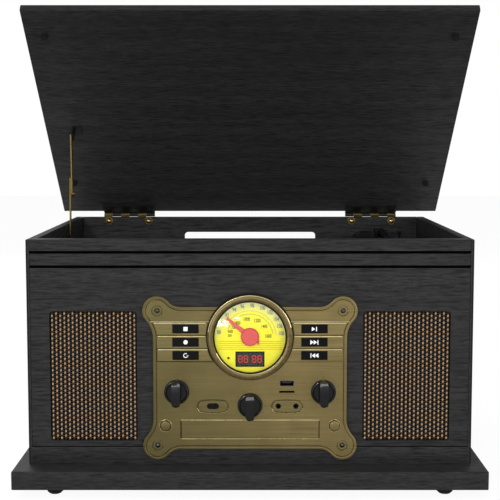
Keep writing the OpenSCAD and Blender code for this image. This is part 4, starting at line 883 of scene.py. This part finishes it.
def plateOutline(inset, y):
    # from one side of the dial's ring round the plate to the other
    quarter = plateQuarter(inset)
    points = []
    for sx, sz in ((1, 1), (1, -1), (-1, -1), (-1, 1)):
        turned = [(sx * x, sz * z) for x, z in quarter]
        points += turned if sx * sz > 0 else turned[::-1]
    topEdge = points[0][1]
    points = [(plateShape["ringGap"], topEdge)] + points + [(-plateShape["ringGap"], topEdge)]
    return [(plateCentre.x + x * mm, y, plateCentre.z + z * mm) for x, z in points]


for name, (inset, depth, radius, sides, finish) in plateShape["lines"].items():
    line = bead(name, plateOutline(inset, plateFront + depth * mm), radius, paint[finish], sides, False)
    dress(line, "cabinet")


def stadiumPath(centreX, centreZ, width, height, y, start=0, end=360, steps=14):
    # part of a stadium's outline, angles as the viewer in front sees them, sizes in mm
    half, radius = (width - height) / 2, height / 2
    points = []
    for i in range(steps * 4 + 1):
        a = math.radians(start + (end - start) * i / (steps * 4))
        push = half * max(-1, min(1, math.cos(a) * 2.2))
        points.append((centreX + push * mm + radius * mm * math.cos(a), y,
                       centreZ + radius * mm * math.sin(a)))
    return points[:-1] if end - start == 360 else points


ovals = {
    "x": 35.9, "z": 84.8, "width": 29.2, "height": 12.2,
    "beads": {  # piece: grown by, depth, radius, sides, start and end angle, slot, finish
        # ovalLitEdges is a painted highlight along the lower edges, ovalShades a painted shade line
        "ovalRims": (1.3, 0.12, 0.42, 8, 0, 360, "antique_brass", "brassKey"),
        "ovalLitEdges": (1.0, -0.12, 0.26, 8, 195, 345, "antique_brass", "paleBrassLipHighlight"),
        "ovalShades": (0.2, 0.05, 0.3, 6, 0, 360, "dark_screw", "brassGapShade"),
    },
}
for name, (grown, depth, radius, sides, start, end, slot, finish) in ovals["beads"].items():
    paths = [stadiumPath(side * ovals["x"] * mm, ovals["z"] * mm, ovals["width"] + grown,
                         ovals["height"] + grown, plateFront + depth * mm, start, end)
             for side in (-1, 1)]
    dressBeads(name, [(path, radius) for path in paths], "cabinet", paint[finish], sides,
               end - start == 360)

gaps = {  # x, z, a dark gap painted as shade and a lip round it, each a list of (radius, height) in mm
    "buttons": (81.8, (65.7,), [(5.35, 0.0), (5.35, 0.12), (5.6, 0.12), (5.6, 0.0)],
                [(5.6, 0.0), (5.65, 0.2), (5.85, 0.27), (6.1, 0.18), (6.15, 0.0)]),
    "screws": (89.4, [plateCentre.z / mm + rise for rise in (-65.8, 65.8)],
               [(4.55, -0.8), (4.55, -0.66), (4.95, -0.5), (4.95, -0.8)],
               [(4.95, -0.3), (5.0, 0.14), (5.3, 0.2), (5.6, 0.12), (5.65, 0.0)]),
}
gapRings, lipRings = [], {name: [] for name in gaps}
for name, (x, heights, gap, lip) in gaps.items():
    for side in (-1, 1):
        for height in heights:
            centre = (side * x * mm, plateFront, height * mm)
            gapRings.append(lathe(gap, centre, (0, -1, 0), 32))
            lipRings[name].append(lathe(lip, centre, (0, -1, 0), 32))
# painted shade in the gaps; the buttons' pale rings are a painted highlight
dress(smoothed(joined("ringGapShade", gapRings)), "cabinet", paint["brassGapShade"])
for name, finish in (("buttons", "paleBrassLipHighlight"), ("screws", "brassKey")):
    dress(smoothed(joined(name + "Lips", lipRings[name]), 60), "cabinet",
          paint[finish])

# painted highlights along the drawer's top and bottom edges, and painted shadow lines at its ends
drawerLines = {"half": 67.1, "low": 52.85, "high": 71.35, "radius": 0.3, "proud": 0.1,
               "ends": ((54, 60.5), (61.6, 70.2))}
half, y = drawerLines["half"] * mm, plateFront - drawerLines["proud"] * mm
highlightPaths = [[(-half, y, drawerLines[key] * mm), (half, y, drawerLines[key] * mm)] for key in ("low", "high")]
endShadowPaths = [[(side * half, y, low * mm), (side * half, y, high * mm)]
           for side in (-1, 1) for low, high in drawerLines["ends"]]
dressBeads("drawerHighlights", [(path, drawerLines["radius"]) for path in highlightPaths], "cabinet",
           paint["paleBrassHighlight"])
dressBeads("drawerEndShadows", [(path, drawerLines["radius"]) for path in endShadowPaths], "cabinet",
           paint["brassGapShade"], 6)

# ---- dial: turned ring, black shade rings, domed lens, printed card
print("stage: dial")

ringShape = {  # (radius, height over the plate) in mm
    "body": [(35.9, 0), (35.9, 4.0), (35.1, 4.0), (35.1, 5.2), (35.5, 5.8), (35.9, 6.0),
             (39.9, 6.0), (40.5, 5.7), (40.9, 5.1), (41.2, 4.0), (41.3, 0)],
    "outerEdge": (40.6, 5.35, 0.35), "innerEdge": (35.6, 5.55, 0.28),
    "paintedHighlight": [(40.5, 5.6, 0.36, 14, 172), (35.7, 5.7, 0.28, 205, 330)],  # painted highlights on the upper outer and lower inner edges
    # painted shade: black rings just outside and just inside the turned ring
    "outerShadeRing": [(41.25, 0), (41.25, 1.0), (41.6, 1.25), (42.1, 1.1), (42.3, 0.5), (42.3, 0)],
    "innerShadeRing": [(34.0, 3.4), (34.0, 5.1), (34.3, 5.4), (35.0, 5.4), (35.2, 5.2), (35.2, 3.4)],
    "segments": 128,
}


def ringOf(profile, segments=ringShape["segments"]):
    return lathe(profile, (dialCentre.x, plateFront, dialCentre.z), (0, -1, 0), segments)


def roundRing(radius, height, tube):
    return [(radius + tube * math.cos(a), height + tube * math.sin(a))
            for a in (math.radians(-i * 36) for i in range(10))]


ring = newObject("dialRing", ringOf(ringShape["body"]))
dress(smoothed(ring, 30), "cabinet", paint["spunDialRingBrass"], ["dial_bezel"])
edges = joined("dialRingEdges", [ringOf(roundRing(*ringShape[k])) for k in ("outerEdge", "innerEdge")])
dress(smoothed(edges, 60), "cabinet", paint["spunDialRingBrass"])
# painted highlight: pale arcs along the ring's lit edges
ringHighlightArcs = [([(dialCentre.x + x * mm, plateFront - height * mm, dialCentre.z + z * mm)
          for x, z in arcPoints((0, 0), radius, start, end, 60)], tube)
        for radius, height, tube, start, end in ringShape["paintedHighlight"]]
dressBeads("dialRingHighlights", ringHighlightArcs, "cabinet", paint["paleBrassHighlight"])
shadeRings = joined("dialShadeRings", [ringOf(ringShape[k]) for k in ("outerShadeRing", "innerShadeRing")])
dress(smoothed(shadeRings, 60), "cabinet", paint["blackRubber"])

lens = {"radius": 34.25, "rise": 2.6, "seat": 35.7, "base": 3.0, "thick": 1.5, "lip": 0.9, "steps": 12}
bend = (lens["radius"] ** 2 + lens["rise"] ** 2) / (2 * lens["rise"])
crown = lens["base"] + lens["thick"]


def domeHeight(radius):
    return crown + math.sqrt(bend ** 2 - radius ** 2) - bend + lens["rise"]


domeRadii = [lens["radius"] * (1 - i / lens["steps"]) for i in range(lens["steps"] + 1)]
lipTop = lens["base"] + lens["lip"]
lensProfile = [(0, lens["base"]), (lens["seat"], lens["base"]), (lens["seat"], lipTop),
               (lens["radius"], lipTop)] + [(radius, domeHeight(radius)) for radius in domeRadii]
glass = newObject("dialLens", ringOf(lensProfile, 96))
dress(smoothed(glass, 40), "cabinet", paint["clearAcrylic"], ["dial_glass"])

dialPrint = {  # outer numbers: (angle, text); inner numbers: (angle, radius, text, size)
    "outerNumbers": [(172, "88"), (154, "90"), (137, "92"), (120, "94"), (104, "96"), (86, "98"),
                     (67, "100"), (51, "102"), (34, "104"), (20, "106"), (6, "108")],
    "outerRadius": 30.2, "outerSize": 5.6,
    "innerNumbers": [(177, 19.5, "530", 3.4), (165, 19.4, "600", 4.3), (150, 18.2, "700", 4.5),
                     (131, 17.6, "800", 4.6), (101, 17.2, "1000", 5.0), (66, 17.0, "1200", 4.9),
                     (36, 16.9, "1400", 4.4), (2, 17.5, "1600", 4.7)],
    "narrow": 0.68, "weight": 0.08,
    "outerArc": (25.2, 4, 140), "innerArc": (22.0, 8, 168), "arcThickness": 0.22,  # radius, angles
    "ticks": 41, "tickAngles": (12, 164), "tickReach": (-0.5, 0.9), "tickHalf": 0.11,
    "proud": 0.06,
}
inkY = faceFront - dialPrint["proud"] * mm


def onDial(radius, angle):
    turn = math.radians(angle)
    return (dialCentre.x + radius * mm * math.cos(turn), inkY,
            dialCentre.z + radius * mm * math.sin(turn))


def dialNumber(text, size, radius, angle):
    return numberMesh(text, size * mm, onDial(radius, angle), dialPrint["narrow"],
                      dialPrint["weight"])


outer = [dialNumber(text, dialPrint["outerSize"], dialPrint["outerRadius"], angle)
         for angle, text in dialPrint["outerNumbers"]]
dress(joined("dialOuterNumbers", outer), "cabinet", paint["greyBlueDialInk"])
inner = [dialNumber(text, size, radius, angle)
         for angle, radius, text, size in dialPrint["innerNumbers"]]
dress(joined("dialInnerNumbers", inner), "cabinet", paint["blackDialInk"])

arcs = []
for radius, start, end in (dialPrint["outerArc"], dialPrint["innerArc"]):
    wide = dialPrint["arcThickness"] / 2
    inside = arcPoints((0, 0), radius - wide, end, start, 60)
    outside = arcPoints((0, 0), radius + wide, start, end, 60)
    arcs.append(prism([(dialCentre.x + x * mm, dialCentre.z + z * mm) for x, z in outside + inside],
                      faceFront, inkY))
dress(joined("dialArcs", arcs), "cabinet", paint["greyBlueDialInk"])

inward, outwardEnd = (reach * mm for reach in dialPrint["tickReach"])
thin = dialPrint["tickHalf"] * mm
tick = prism([(inward, -thin), (outwardEnd, -thin), (outwardEnd, thin), (inward, thin)], 0,
             -dialPrint["proud"] * mm)
ticks = grow("dialTicks", tick, ringTree,
             {"Count": dialPrint["ticks"], "Radius": dialPrint["innerArc"][0] * mm,
              "Start Angle": math.radians(dialPrint["tickAngles"][0]),
              "End Angle": math.radians(dialPrint["tickAngles"][1]),
              "Material": paint["greyBlueDialInk"]},
             (dialCentre.x, faceFront, dialCentre.z))
dress(ticks, "cabinet")

bandLines = {"width": 61, "pitch": 1.9, "count": 5, "thickness": 0.34, "corner": 0.05, "drop": 8.3}
line = prism(roundedBox((0, 0), bandLines["width"] * mm, bandLines["thickness"] * mm,
                        bandLines["corner"] * mm, 2), 0, -dialPrint["proud"] * mm)
lines = grow("dialBandLines", line, gridTree,
             {**singleGrid, "Rows": bandLines["count"], "Row Pitch": bandLines["pitch"] * mm,
              "Material": paint["ochreDialInk"]},
             (dialCentre.x, faceFront, dialCentre.z - bandLines["drop"] * mm))
dress(lines, "cabinet")

pointerRim = {"hub": 8.75, "width": 1.0, "height": 0.3, "sunk": 0.3, "slope": 0.3}
hub, inside = pointerRim["hub"], pointerRim["hub"] - pointerRim["width"]
rimProfile = [(inside, -pointerRim["sunk"]), (inside, pointerRim["height"]),
              (hub - pointerRim["slope"], pointerRim["height"]), (hub, 0), (hub, -pointerRim["sunk"])]
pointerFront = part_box("dial_pointer")[0].y
hubRim = newObject("pointerRim", lathe(rimProfile, (dialCentre.x, pointerFront, dialCentre.z),
                                       (0, -1, 0), 64))
dress(smoothed(hubRim, 40), "dial_pointer", paint["darkRedPointerRim"])

displayPlan = {  # mm
    "width": 28, "height": 15, "rim": 1.3, "corner": 1.2, "depth": (0.4, -0.5), "edge": 0.15,
    "digits": (-9.2, -3.9, 3.9, 9.2), "digitWidth": 3.8, "digitHeight": 6.7, "stroke": 0.42,
    "gap": 0.22, "proud": 0.08,
    # the seven bars of a digit: steps from its middle to the right and up, and whether it lies flat
    "bars": ((0, 1, True), (0, 0, True), (0, -1, True), (-1, 0.5, False), (1, 0.5, False),
             (-1, -0.5, False), (1, -0.5, False)),
}
displayFront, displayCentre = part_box("display_module")[0].y, middle("display_module")


def frameMesh(centre, width, height, rim, corner, back, front):
    # a flat rounded frame: four outlines joined by quads
    def build(shape):
        loops = []
        for inset, y in ((0, back), (0, front), (rim, front), (rim, back)):
            points = roundedBox(centre, width - 2 * inset, height - 2 * inset,
                                max(corner - inset, 0.2 * mm))
            loops.append([shape.verts.new((x, y, z)) for x, z in points])
        for one, two in zip(loops, loops[1:] + loops[:1]):
            for i in range(len(one)):
                j = (i + 1) % len(one)
                shape.faces.new((one[i], one[j], two[j], two[i]))
    return meshFrom(build)


rim = newObject("displayFrame", frameMesh(
    (displayCentre.x, displayCentre.z),
    *(displayPlan[key] * mm for key in ("width", "height", "rim", "corner")),
    *(faceFront + depth * mm for depth in displayPlan["depth"])))
bevelled(rim, displayPlan["edge"] * mm, 2)
dress(rim, "cabinet", paint["smokedWindow"])


def segmentMeshes(x, z, y):
    # the seven bars of one digit, mitred at their ends
    halfW, halfH, thin = (displayPlan[key] / 2 * mm for key in ("digitWidth", "digitHeight", "stroke"))
    bars = []
    for right, up, flat in displayPlan["bars"]:
        centreX, centreZ = x + right * (halfW - thin), z + up * (halfH - thin)
        length = (halfW - thin if flat else (halfH - thin) / 2) - displayPlan["gap"] * mm
        points = [(-length, 0), (-length + thin, -thin), (length - thin, -thin), (length, 0),
                  (length - thin, thin), (-length + thin, thin)]
        if not flat:
            points = [(-b, a) for a, b in points]
        bars.append(prism([(centreX + a, centreZ + b) for a, b in points], y,
                          y - displayPlan["proud"] * mm))
    return bars


digits = [bar for x in displayPlan["digits"]
          for bar in segmentMeshes(displayCentre.x + x * mm, displayCentre.z, displayFront)]
dress(joined("displayDigits", digits), "cabinet", paint["segmentRed"])

# ---- keys: painted highlight strips, label plates and their symbols
print("stage: keys")

keyPlates = {  # mm
    "width": 25.4, "height": 8.7, "corner": 0.4, "thick": 0.35, "edge": 0.1, "ink": 0.05,
    "centreX": 61.9,
    "sides": {"key_stop": -1, "key_record": -1, "key_repeat": -1,
              "key_play": 1, "key_next": 1, "key_previous": 1},
}
# a painted highlight along a key's upper edge; on the two lowest keys it stops further from the dial
keyHighlightStrip = {"radius": 0.45, "up": -0.12, "sunk": 0.2, "inner": 2.6, "lowInner": 6.3, "outer": 1.4}


def triangle(x, half, tall, way):
    points = [(x - way * half, -tall), (x + way * half, 0), (x - way * half, tall)]
    return points if way > 0 else points[::-1]


def bar(x, wide, tall):
    return [(x - wide, -tall), (x + wide, -tall), (x + wide, tall), (x - wide, tall)]


def loopSymbol():
    # an open loop with an arrowhead, for repeat
    ringOut = arcPoints((0, 0), 2.3, 60, 360, 20)
    ringIn = arcPoints((0, 0), 1.6, 360, 60, 20)
    return [ringOut + ringIn, [(1.0, 0.1), (1.95, -1.5), (2.9, 0.1)]]


symbols = {  # outlines in mm round the plate's middle
    "key_stop": [bar(0, 2.0, 2.0)],
    "key_record": [arcPoints((0, 0), 2.1, 0, 345, 23)],
    "key_repeat": loopSymbol(),
    "key_play": [triangle(-0.9, 1.7, 2.1, 1), bar(1.9, 0.45, 2.1)],
    "key_next": [triangle(-2.3, 1.6, 2.3, 1), triangle(0.9, 1.6, 2.3, 1), bar(3.3, 0.4, 2.3)],
    "key_previous": [bar(-3.3, 0.4, 2.3), triangle(-0.9, 1.6, 2.3, -1), triangle(2.3, 1.6, 2.3, -1)],
}
for key, side in keyPlates["sides"].items():
    low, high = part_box(key)
    centre = (side * keyPlates["centreX"] * mm, (low.z + high.z) / 2)
    outline = roundedBox(centre, *(keyPlates[part] * mm for part in ("width", "height", "corner")), 3)
    inkFront = low.y - keyPlates["thick"] * mm
    label = newObject(key + "_plate", prism(outline, low.y, inkFront))
    bevelled(label, keyPlates["edge"] * mm, 2)
    dress(label, key, paint["blackKeyPlate"])
    marks = [prism([(centre[0] + x * mm, centre[1] + z * mm) for x, z in mark],
                   inkFront, inkFront - keyPlates["ink"] * mm) for mark in symbols[key]]
    dress(joined(key + "_symbol", marks), key, paint["whiteKeyInk"])
    y = low.y + keyHighlightStrip["sunk"] * mm
    z = high.z - (keyHighlightStrip["radius"] - keyHighlightStrip["up"]) * mm
    inner = keyHighlightStrip["lowInner" if key in ("key_repeat", "key_previous") else "inner"]
    fromLeft, fromRight = (keyHighlightStrip["outer"], inner) if side < 0 else (inner, keyHighlightStrip["outer"])
    paintedHighlight = bead(key + "_strip", [(low.x + fromLeft * mm, y, z), (high.x - fromRight * mm, y, z)],
                  keyHighlightStrip["radius"], paint["paleBrassHighlight"], closed=False)
    dress(paintedHighlight, key)

# painted highlight: pale brass bars along the plate just above the top keys
keyTrim = {"x": (37.6, 95.6), "up": 0.45, "radius": 0.32, "proud": 0.1}
trimY = plateFront - keyTrim["proud"] * mm
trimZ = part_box("key_play")[1].z + keyTrim["up"] * mm
bars = [([(side * x * mm, trimY, trimZ) for x in keyTrim["x"]], keyTrim["radius"]) for side in (-1, 1)]
dressBeads("keyTrimHighlights", bars, "cabinet", paint["paleBrassHighlight"])

# ---- printed scale round each knob, the turned rim on its skirt, and painted highlight lines
print("stage: knobs")

knobScale = {"radius": 15.0, "ticks": 11, "from": -30, "to": 210, "length": 1.5, "width": 0.4,
             "ink": 0.04}
knobRim = [(9.6, 4.0), (9.6, 4.5), (9.9, 4.9), (10.4, 5.05), (10.9, 4.9), (11.2, 4.5), (11.2, 4.0)]
knobGlint = {  # edge: x, depth, radius; arc: radius, height, tube
    "edge": (3.55, 0.3, 0.2), "from": 6.8, "to": -12.0,
    "arc": (10.75, 4.85, 0.2), "arcs": ((118, 176), (-28, 24)),
}
half, thin = knobScale["length"] / 2 * mm, knobScale["width"] / 2 * mm
for knob in ("function_knob", "tuning_knob", "volume_knob"):
    low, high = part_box(knob)
    spot = Vector(((low.x + high.x) / 2, plateFront, high.z - (high.x - low.x) / 2))
    mark = prism([(-half, -thin), (half, -thin), (half, thin), (-half, thin)], 0,
                 -knobScale["ink"] * mm)
    scale = grow(knob + "_scale", mark, ringTree,
                 {"Count": knobScale["ticks"], "Radius": knobScale["radius"] * mm,
                  "Start Angle": math.radians(knobScale["from"]),
                  "End Angle": math.radians(knobScale["to"]), "Material": paint["darkBrassInk"]},
                 spot)
    dress(scale, "cabinet")
    rim = newObject(knob + "_rim", lathe(knobRim, spot, (0, -1, 0), 64))
    dress(smoothed(rim, 50), knob, paint["glossBlackPlastic"])
    x, depth, thick = knobGlint["edge"]
    glints = [([(spot.x + x * mm, low.y + depth * mm, spot.z + knobGlint[end] * mm)
                for end in ("from", "to")], thick)]
    radius, height, tube = knobGlint["arc"]
    glints += [([(spot.x + a * mm, plateFront - height * mm, spot.z + b * mm)
                 for a, b in arcPoints((0, 0), radius, *arc, 20)], tube) for arc in knobGlint["arcs"]]
    dressBeads(knob + "_edge", glints, knob, paint["knobEdgeHighlight"], 6)

# ---- port shells, tongues and contacts
print("stage: sockets")

ports = {  # mm; usb: height over the floor, width, height; tongue: width, thickness, rise
    "x": 35.6, "usb": (107.3, 13.9, 5.7), "y": -158.6, "depth": (3, -1.6),
    "shell": 0.35, "corner": 0.9, "tongue": (10.4, 1.5, 0.9), "tongueLong": 8,
    "contacts": 4, "contactPitch": 2.1, "contactSunk": 0.3,
    "jackRing": [(1.75, 0.9), (1.75, 1.5), (2.0, 1.75), (2.5, 1.75), (2.7, 1.5), (2.7, 0.9)],
    "jackX": (27.4, 44.4), "jackY": -158.5,
}
z, width, height = ports["usb"]
shell = newObject("portShell", frameMesh(
    (ports["x"] * mm, z * mm), width * mm, height * mm, ports["shell"] * mm, ports["corner"] * mm,
    *((ports["y"] + depth) * mm for depth in ports["depth"])))
dress(shell, "cabinet", paint["portShellSteel"])
wide, thick, rise = ports["tongue"]
under, over = z + rise - thick / 2, z + rise + thick / 2
tongue = newObject("portTongue", plank(
    (ports["x"] - wide / 2, ports["y"], under),
    (ports["x"] + wide / 2, ports["y"] + ports["tongueLong"], over), 0.25))
dress(smoothed(tongue), "cabinet", paint["blackAbsMoulded"])
contact = plank((-0.5, 0, -0.12), (0.5, 6, 0.12), 0.05, 1)
contacts = grow("portContacts", contact, gridTree,
                {**singleGrid, "Columns": ports["contacts"],
                 "Column Pitch": ports["contactPitch"] * mm, "Material": paint["goldContact"]},
                (ports["x"] * mm, (ports["y"] + ports["contactSunk"]) * mm, under * mm))
dress(contacts, "cabinet")
rings = [lathe(ports["jackRing"], (x * mm, ports["jackY"] * mm, ovals["z"] * mm), (0, -1, 0), 40)
         for x in ports["jackX"]]
dress(smoothed(joined("jackRings", rings), 50), "cabinet",
      paint["glossBlackPlastic"])

# ---- woven speaker cloth: staggered tan beads of yarn over dark brown cores, painted shade, and slate threads
print("stage: speaker cloth")

cloth = {  # mm
    "columnPitch": 3.967, "beadPitch": 4.44, "columns": 21, "rows": 28,
    "bead": (0.92, 0.85, 1.45),  # half sizes
    "lean": 6,  # degrees
    "coreRadius": 1.15, "coreShort": 0.6, "coreBack": 0.75,
    "threadRadius": 0.22, "threadRows": 56, "threadBack": 1.1, "backingBack": 1.9,
    "sunk": 0.9,  # how far the beads' crests lie behind the panel's face
    "margin": 0.25, "opening": 83.5, "corner": 3,
}
grilleCentre = (grilleLow + grilleHigh) / 2
grilleTall = grilleHigh.z - grilleLow.z
grilleWidth = cloth["columns"] * cloth["columnPitch"] * mm - 2 * cloth["margin"] * mm
openingWidth = cloth["opening"] * mm
grilleSpread = (grilleHigh.x - grilleLow.x) - openingWidth
clothY = frontFace + (cloth["sunk"] + cloth["bead"][1]) * mm
gridOf = {"Columns": cloth["columns"], "Rows": cloth["rows"],
          "Column Pitch": cloth["columnPitch"] * mm, "Row Pitch": cloth["beadPitch"] * mm,
          "Stagger": cloth["beadPitch"] / 2 * mm, "Copies": 2, "Copy Pitch": grilleSpread}


def buildBead(shape):
    bmesh.ops.create_uvsphere(shape, u_segments=8, v_segments=6, radius=1)
    bmesh.ops.scale(shape, vec=[h * mm for h in cloth["bead"]], verts=shape.verts)
    bmesh.ops.rotate(shape, matrix=Matrix.Rotation(math.radians(cloth["lean"]), 3, "Y"),
                     verts=shape.verts)


def rodMesh(radius, length, axis, sides):
    def build(shape):
        bmesh.ops.create_cone(shape, cap_ends=True, segments=sides, radius1=radius,
                              radius2=radius, depth=length)
        if axis == "X":
            bmesh.ops.rotate(shape, matrix=Matrix.Rotation(math.pi / 2, 3, "Y"), verts=shape.verts)
    return meshFrom(build)


beads = grow("grilleBeads", meshFrom(buildBead), gridTree,
             {**gridOf, "Material": paint["tanTwistedYarn"]}, (0, clothY, grilleCentre.z))
core = rodMesh(cloth["coreRadius"] * mm, grilleTall - cloth["coreShort"] * mm, "Z", 8)
cores = grow("grilleCores", core, gridTree,
             {**gridOf, "Rows": 1, "Stagger": 0.0, "Material": paint["brownCoreYarnShade"]},
             (0, clothY + cloth["coreBack"] * mm, grilleCentre.z))
thread = rodMesh(cloth["threadRadius"] * mm, grilleWidth, "X", 5)
threads = grow("grilleThreads", thread, gridTree,
               {**gridOf, "Columns": 1, "Rows": cloth["threadRows"], "Stagger": 0.0,
                "Row Pitch": cloth["beadPitch"] / 2 * mm, "Material": paint["slateThread"]},
               (0, clothY + cloth["threadBack"] * mm, grilleCentre.z))
boards = []
for side in (-1, 1):
    outline = roundedBox((side * grilleSpread / 2, grilleCentre.z), openingWidth, grilleTall,
                         cloth["corner"] * mm)
    boards.append(prism(outline, grilleHigh.y, clothY + cloth["backingBack"] * mm))
backing = joined("grilleBacking", boards)
dress(backing, "cabinet", paint["blackBackingAndGapShade"], ["speaker_grilles"])
for piece in (beads, cores, threads):
    dress(piece, "cabinet")

# ---- hinge screws and bolt washers
print("stage: hinges and stay")

hinges = {  # mm
    "x": 149.6, "screwPitch": 16.2, "screwY": 169.6, "leafUnder": 249.3,
    "screw": [(0, 0.75), (0.6, 0.72), (1.3, 0.5), (1.9, 0.05), (2.0, -0.2), (0, -0.2)],
    # a thin lip behind the lid that covers the hinge's barrels from above, lid closed
    "shroudHalf": 31.4, "shroud": ((176.8, 251.4), (182.3, 252.0)),
    "boltPitch": 49, "boltZ": 241.5, "wallInner": 169.5,
    "washer": [(3.0, -0.3), (3.0, 0.35), (3.3, 0.5), (4.7, 0.5), (5.0, 0.3), (5.0, -0.3)],
}
pair = {**singleGrid, "Copies": 2, "Copy Pitch": 2 * hinges["x"] * mm}
screwHead = lathe(hinges["screw"], (0, 0, 0), (0, 0, -1), 20)
leafScrews = grow("hingeLeafScrews", screwHead, gridTree,
                  {**pair, "Columns": 4, "Column Pitch": hinges["screwPitch"] * mm,
                   "Material": paint["blackenedSteel"]},
                  (0, hinges["screwY"] * mm, hinges["leafUnder"] * mm))
# the lid's pieces are made closed and turned open about the pin
hingePin = Matrix.Translation([0, *[place * mm for place in hingeLine["pin"]]])
openLid = hingePin @ Matrix.Rotation(math.radians(-hingeLine["open"]), 4, "X") @ hingePin.inverted()
leafScrews.data.transform(openLid)
dress(leafScrews, "lid")
lowEdge, highEdge = hinges["shroud"]
shrouds = joined("hingeShrouds", [plank((side * hinges["x"] - hinges["shroudHalf"], *lowEdge),
                                        (side * hinges["x"] + hinges["shroudHalf"], *highEdge), 0.2)
                                  for side in (-1, 1)])
shrouds.data.transform(openLid)
dress(smoothed(shrouds), "lid", paint["blackenedSteel"])
washer = lathe(hinges["washer"], (0, 0, 0), (0, -1, 0), 32)
washers = grow("boltWashers", washer, gridTree,
               {**pair, "Columns": 2, "Column Pitch": hinges["boltPitch"] * mm,
                "Material": paint["tarnishedHingeBrass"]},
               (0, hinges["wallInner"] * mm, hinges["boltZ"] * mm))
dress(washers, "cabinet")

# ---- record mat with its concentric ridges
print("stage: turntable")

mat = {  # mm; the ridge is a list of (step outwards, share of its height), one at each pitch
    "radius": 96, "hole": 3.8, "base": 1.2, "height": 0.8, "pitch": 3.2, "label": 38, "rim": (0.6, 0.4),
    "ridge": ((0.5, 0.9), (1.0, 1), (1.7, 1), (2.2, 0.9), (2.7, 0)),
}
matProfile = [(mat["hole"], 0), (mat["hole"], mat["base"]), (mat["label"], mat["base"])]
radius = mat["label"]
while radius + mat["pitch"] < mat["radius"] - 1:
    matProfile += [(radius + step, mat["base"] + mat["height"] * share)
                   for step, share in mat["ridge"]]
    radius += mat["pitch"]
rimIn, rimDown = mat["rim"]
matProfile += [(mat["radius"] - rimIn, mat["base"]), (mat["radius"], mat["base"] - rimDown),
               (mat["radius"], 0)]
matFoot = (platterCentre.x, platterCentre.y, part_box("platter_mat")[0].z)
ridged = newObject("ribbedMat", lathe(matProfile, matFoot, (0, 0, 1), 128))
dress(smoothed(ridged, 30), "platter", paint["blackRubber"], ["platter_mat"])

platterDots = {"count": 72, "radius": 97.9, "low": 211.6, "high": 212.9, "half": 0.75,
               "depth": (-0.15, 0.2)}
dotHalf = (platterDots["high"] - platterDots["low"]) / 2
dotBack, dotFront = platterDots["depth"]
dot = plank((dotBack, -platterDots["half"], -dotHalf), (dotFront, platterDots["half"], dotHalf),
            0.12, 1)
# the ring tree works upright, so the dots are laid down for it and stood up again after it
dot.transform(Matrix.Rotation(-math.pi / 2, 4, "X"))
dots = grow("platterDots", dot, ringTree,
            {"Count": platterDots["count"] + 1, "Radius": platterDots["radius"] * mm,
             "Start Angle": 0.0, "End Angle": math.tau, "Material": paint["zincPlatedSteel"]})
dotMiddle = (platterDots["low"] + platterDots["high"]) / 2 * mm
dots.data.transform(Matrix.Translation((platterCentre.x, platterCentre.y, dotMiddle))
                    @ Matrix.Rotation(math.pi / 2, 4, "X"))
dress(dots, "platter")

armCover = {  # mm
    "pivot": (157.5, 137.5), "x": (3.5, 7.2), "y": -7.4, "thick": 1.2, "z": (219.5, 233.6),
    "ribs": 3, "ribPitch": 1.25, "ribRadius": 0.36, "ribShort": 1.2,
}
pivotX, coverY = armCover["pivot"][0], armCover["pivot"][1] + armCover["y"]
coverLow, coverHigh = armCover["z"]
cover = []
for side in (-1, 1):
    near, far = sorted(side * x for x in armCover["x"])
    cover.append(plank((pivotX + near, coverY, coverLow),
                       (pivotX + far, coverY + armCover["thick"], coverHigh), 0.3))
dress(smoothed(joined("armCover", cover)), "arm_gimbal", paint["blackArmPlastic"])
ribLength = (coverHigh - coverLow - armCover["ribShort"]) * mm
ribs = grow("armCoverRibs", rodMesh(armCover["ribRadius"] * mm, ribLength, "Z", 8), gridTree,
            {**singleGrid, "Columns": armCover["ribs"], "Column Pitch": armCover["ribPitch"] * mm,
             "Copies": 2, "Copy Pitch": sum(armCover["x"]) * mm,
             "Material": paint["blackArmPlastic"]},
            (pivotX * mm, coverY * mm, (coverLow + coverHigh) / 2 * mm))
dress(ribs, "arm_gimbal")
housingScrew = {"place": (135.5, 130.0, 222.5),
                "head": [(0, 0.9), (0.8, 0.8), (1.5, 0.35), (1.7, -0.2), (0, -0.2)]}
screw = newObject("housingScrew", lathe(
    housingScrew["head"], [place * mm for place in housingScrew["place"]], (0, -1, 0), 24))
dress(smoothed(screw, 50), "cabinet", paint["drawnSteel"])

# ---- rear line sockets: coloured rings round their bores
print("stage: rear")

lineSockets = {"x": {"red": -97, "white": -77},
               "ring": [(3.0, 0), (3.0, 0.5), (3.3, 0.7), (4.1, 0.7), (4.4, 0.5), (4.4, 0)]}
rearFace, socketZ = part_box("terminal_panel")[1].y, middle("rear_sockets").z
for name, x in lineSockets["x"].items():
    ring = newObject(name + "SocketRing",
                     lathe(lineSockets["ring"], (x * mm, rearFace, socketZ), (0, 1, 0), 40))
    dress(smoothed(ring, 50), "cabinet", paint[name + "SocketRing"])

for thing in bpy.context.scene.objects:
    if thing.type == "MESH" and thing.name in nodes:
        smoothed(thing, 30)

print("stage: done")
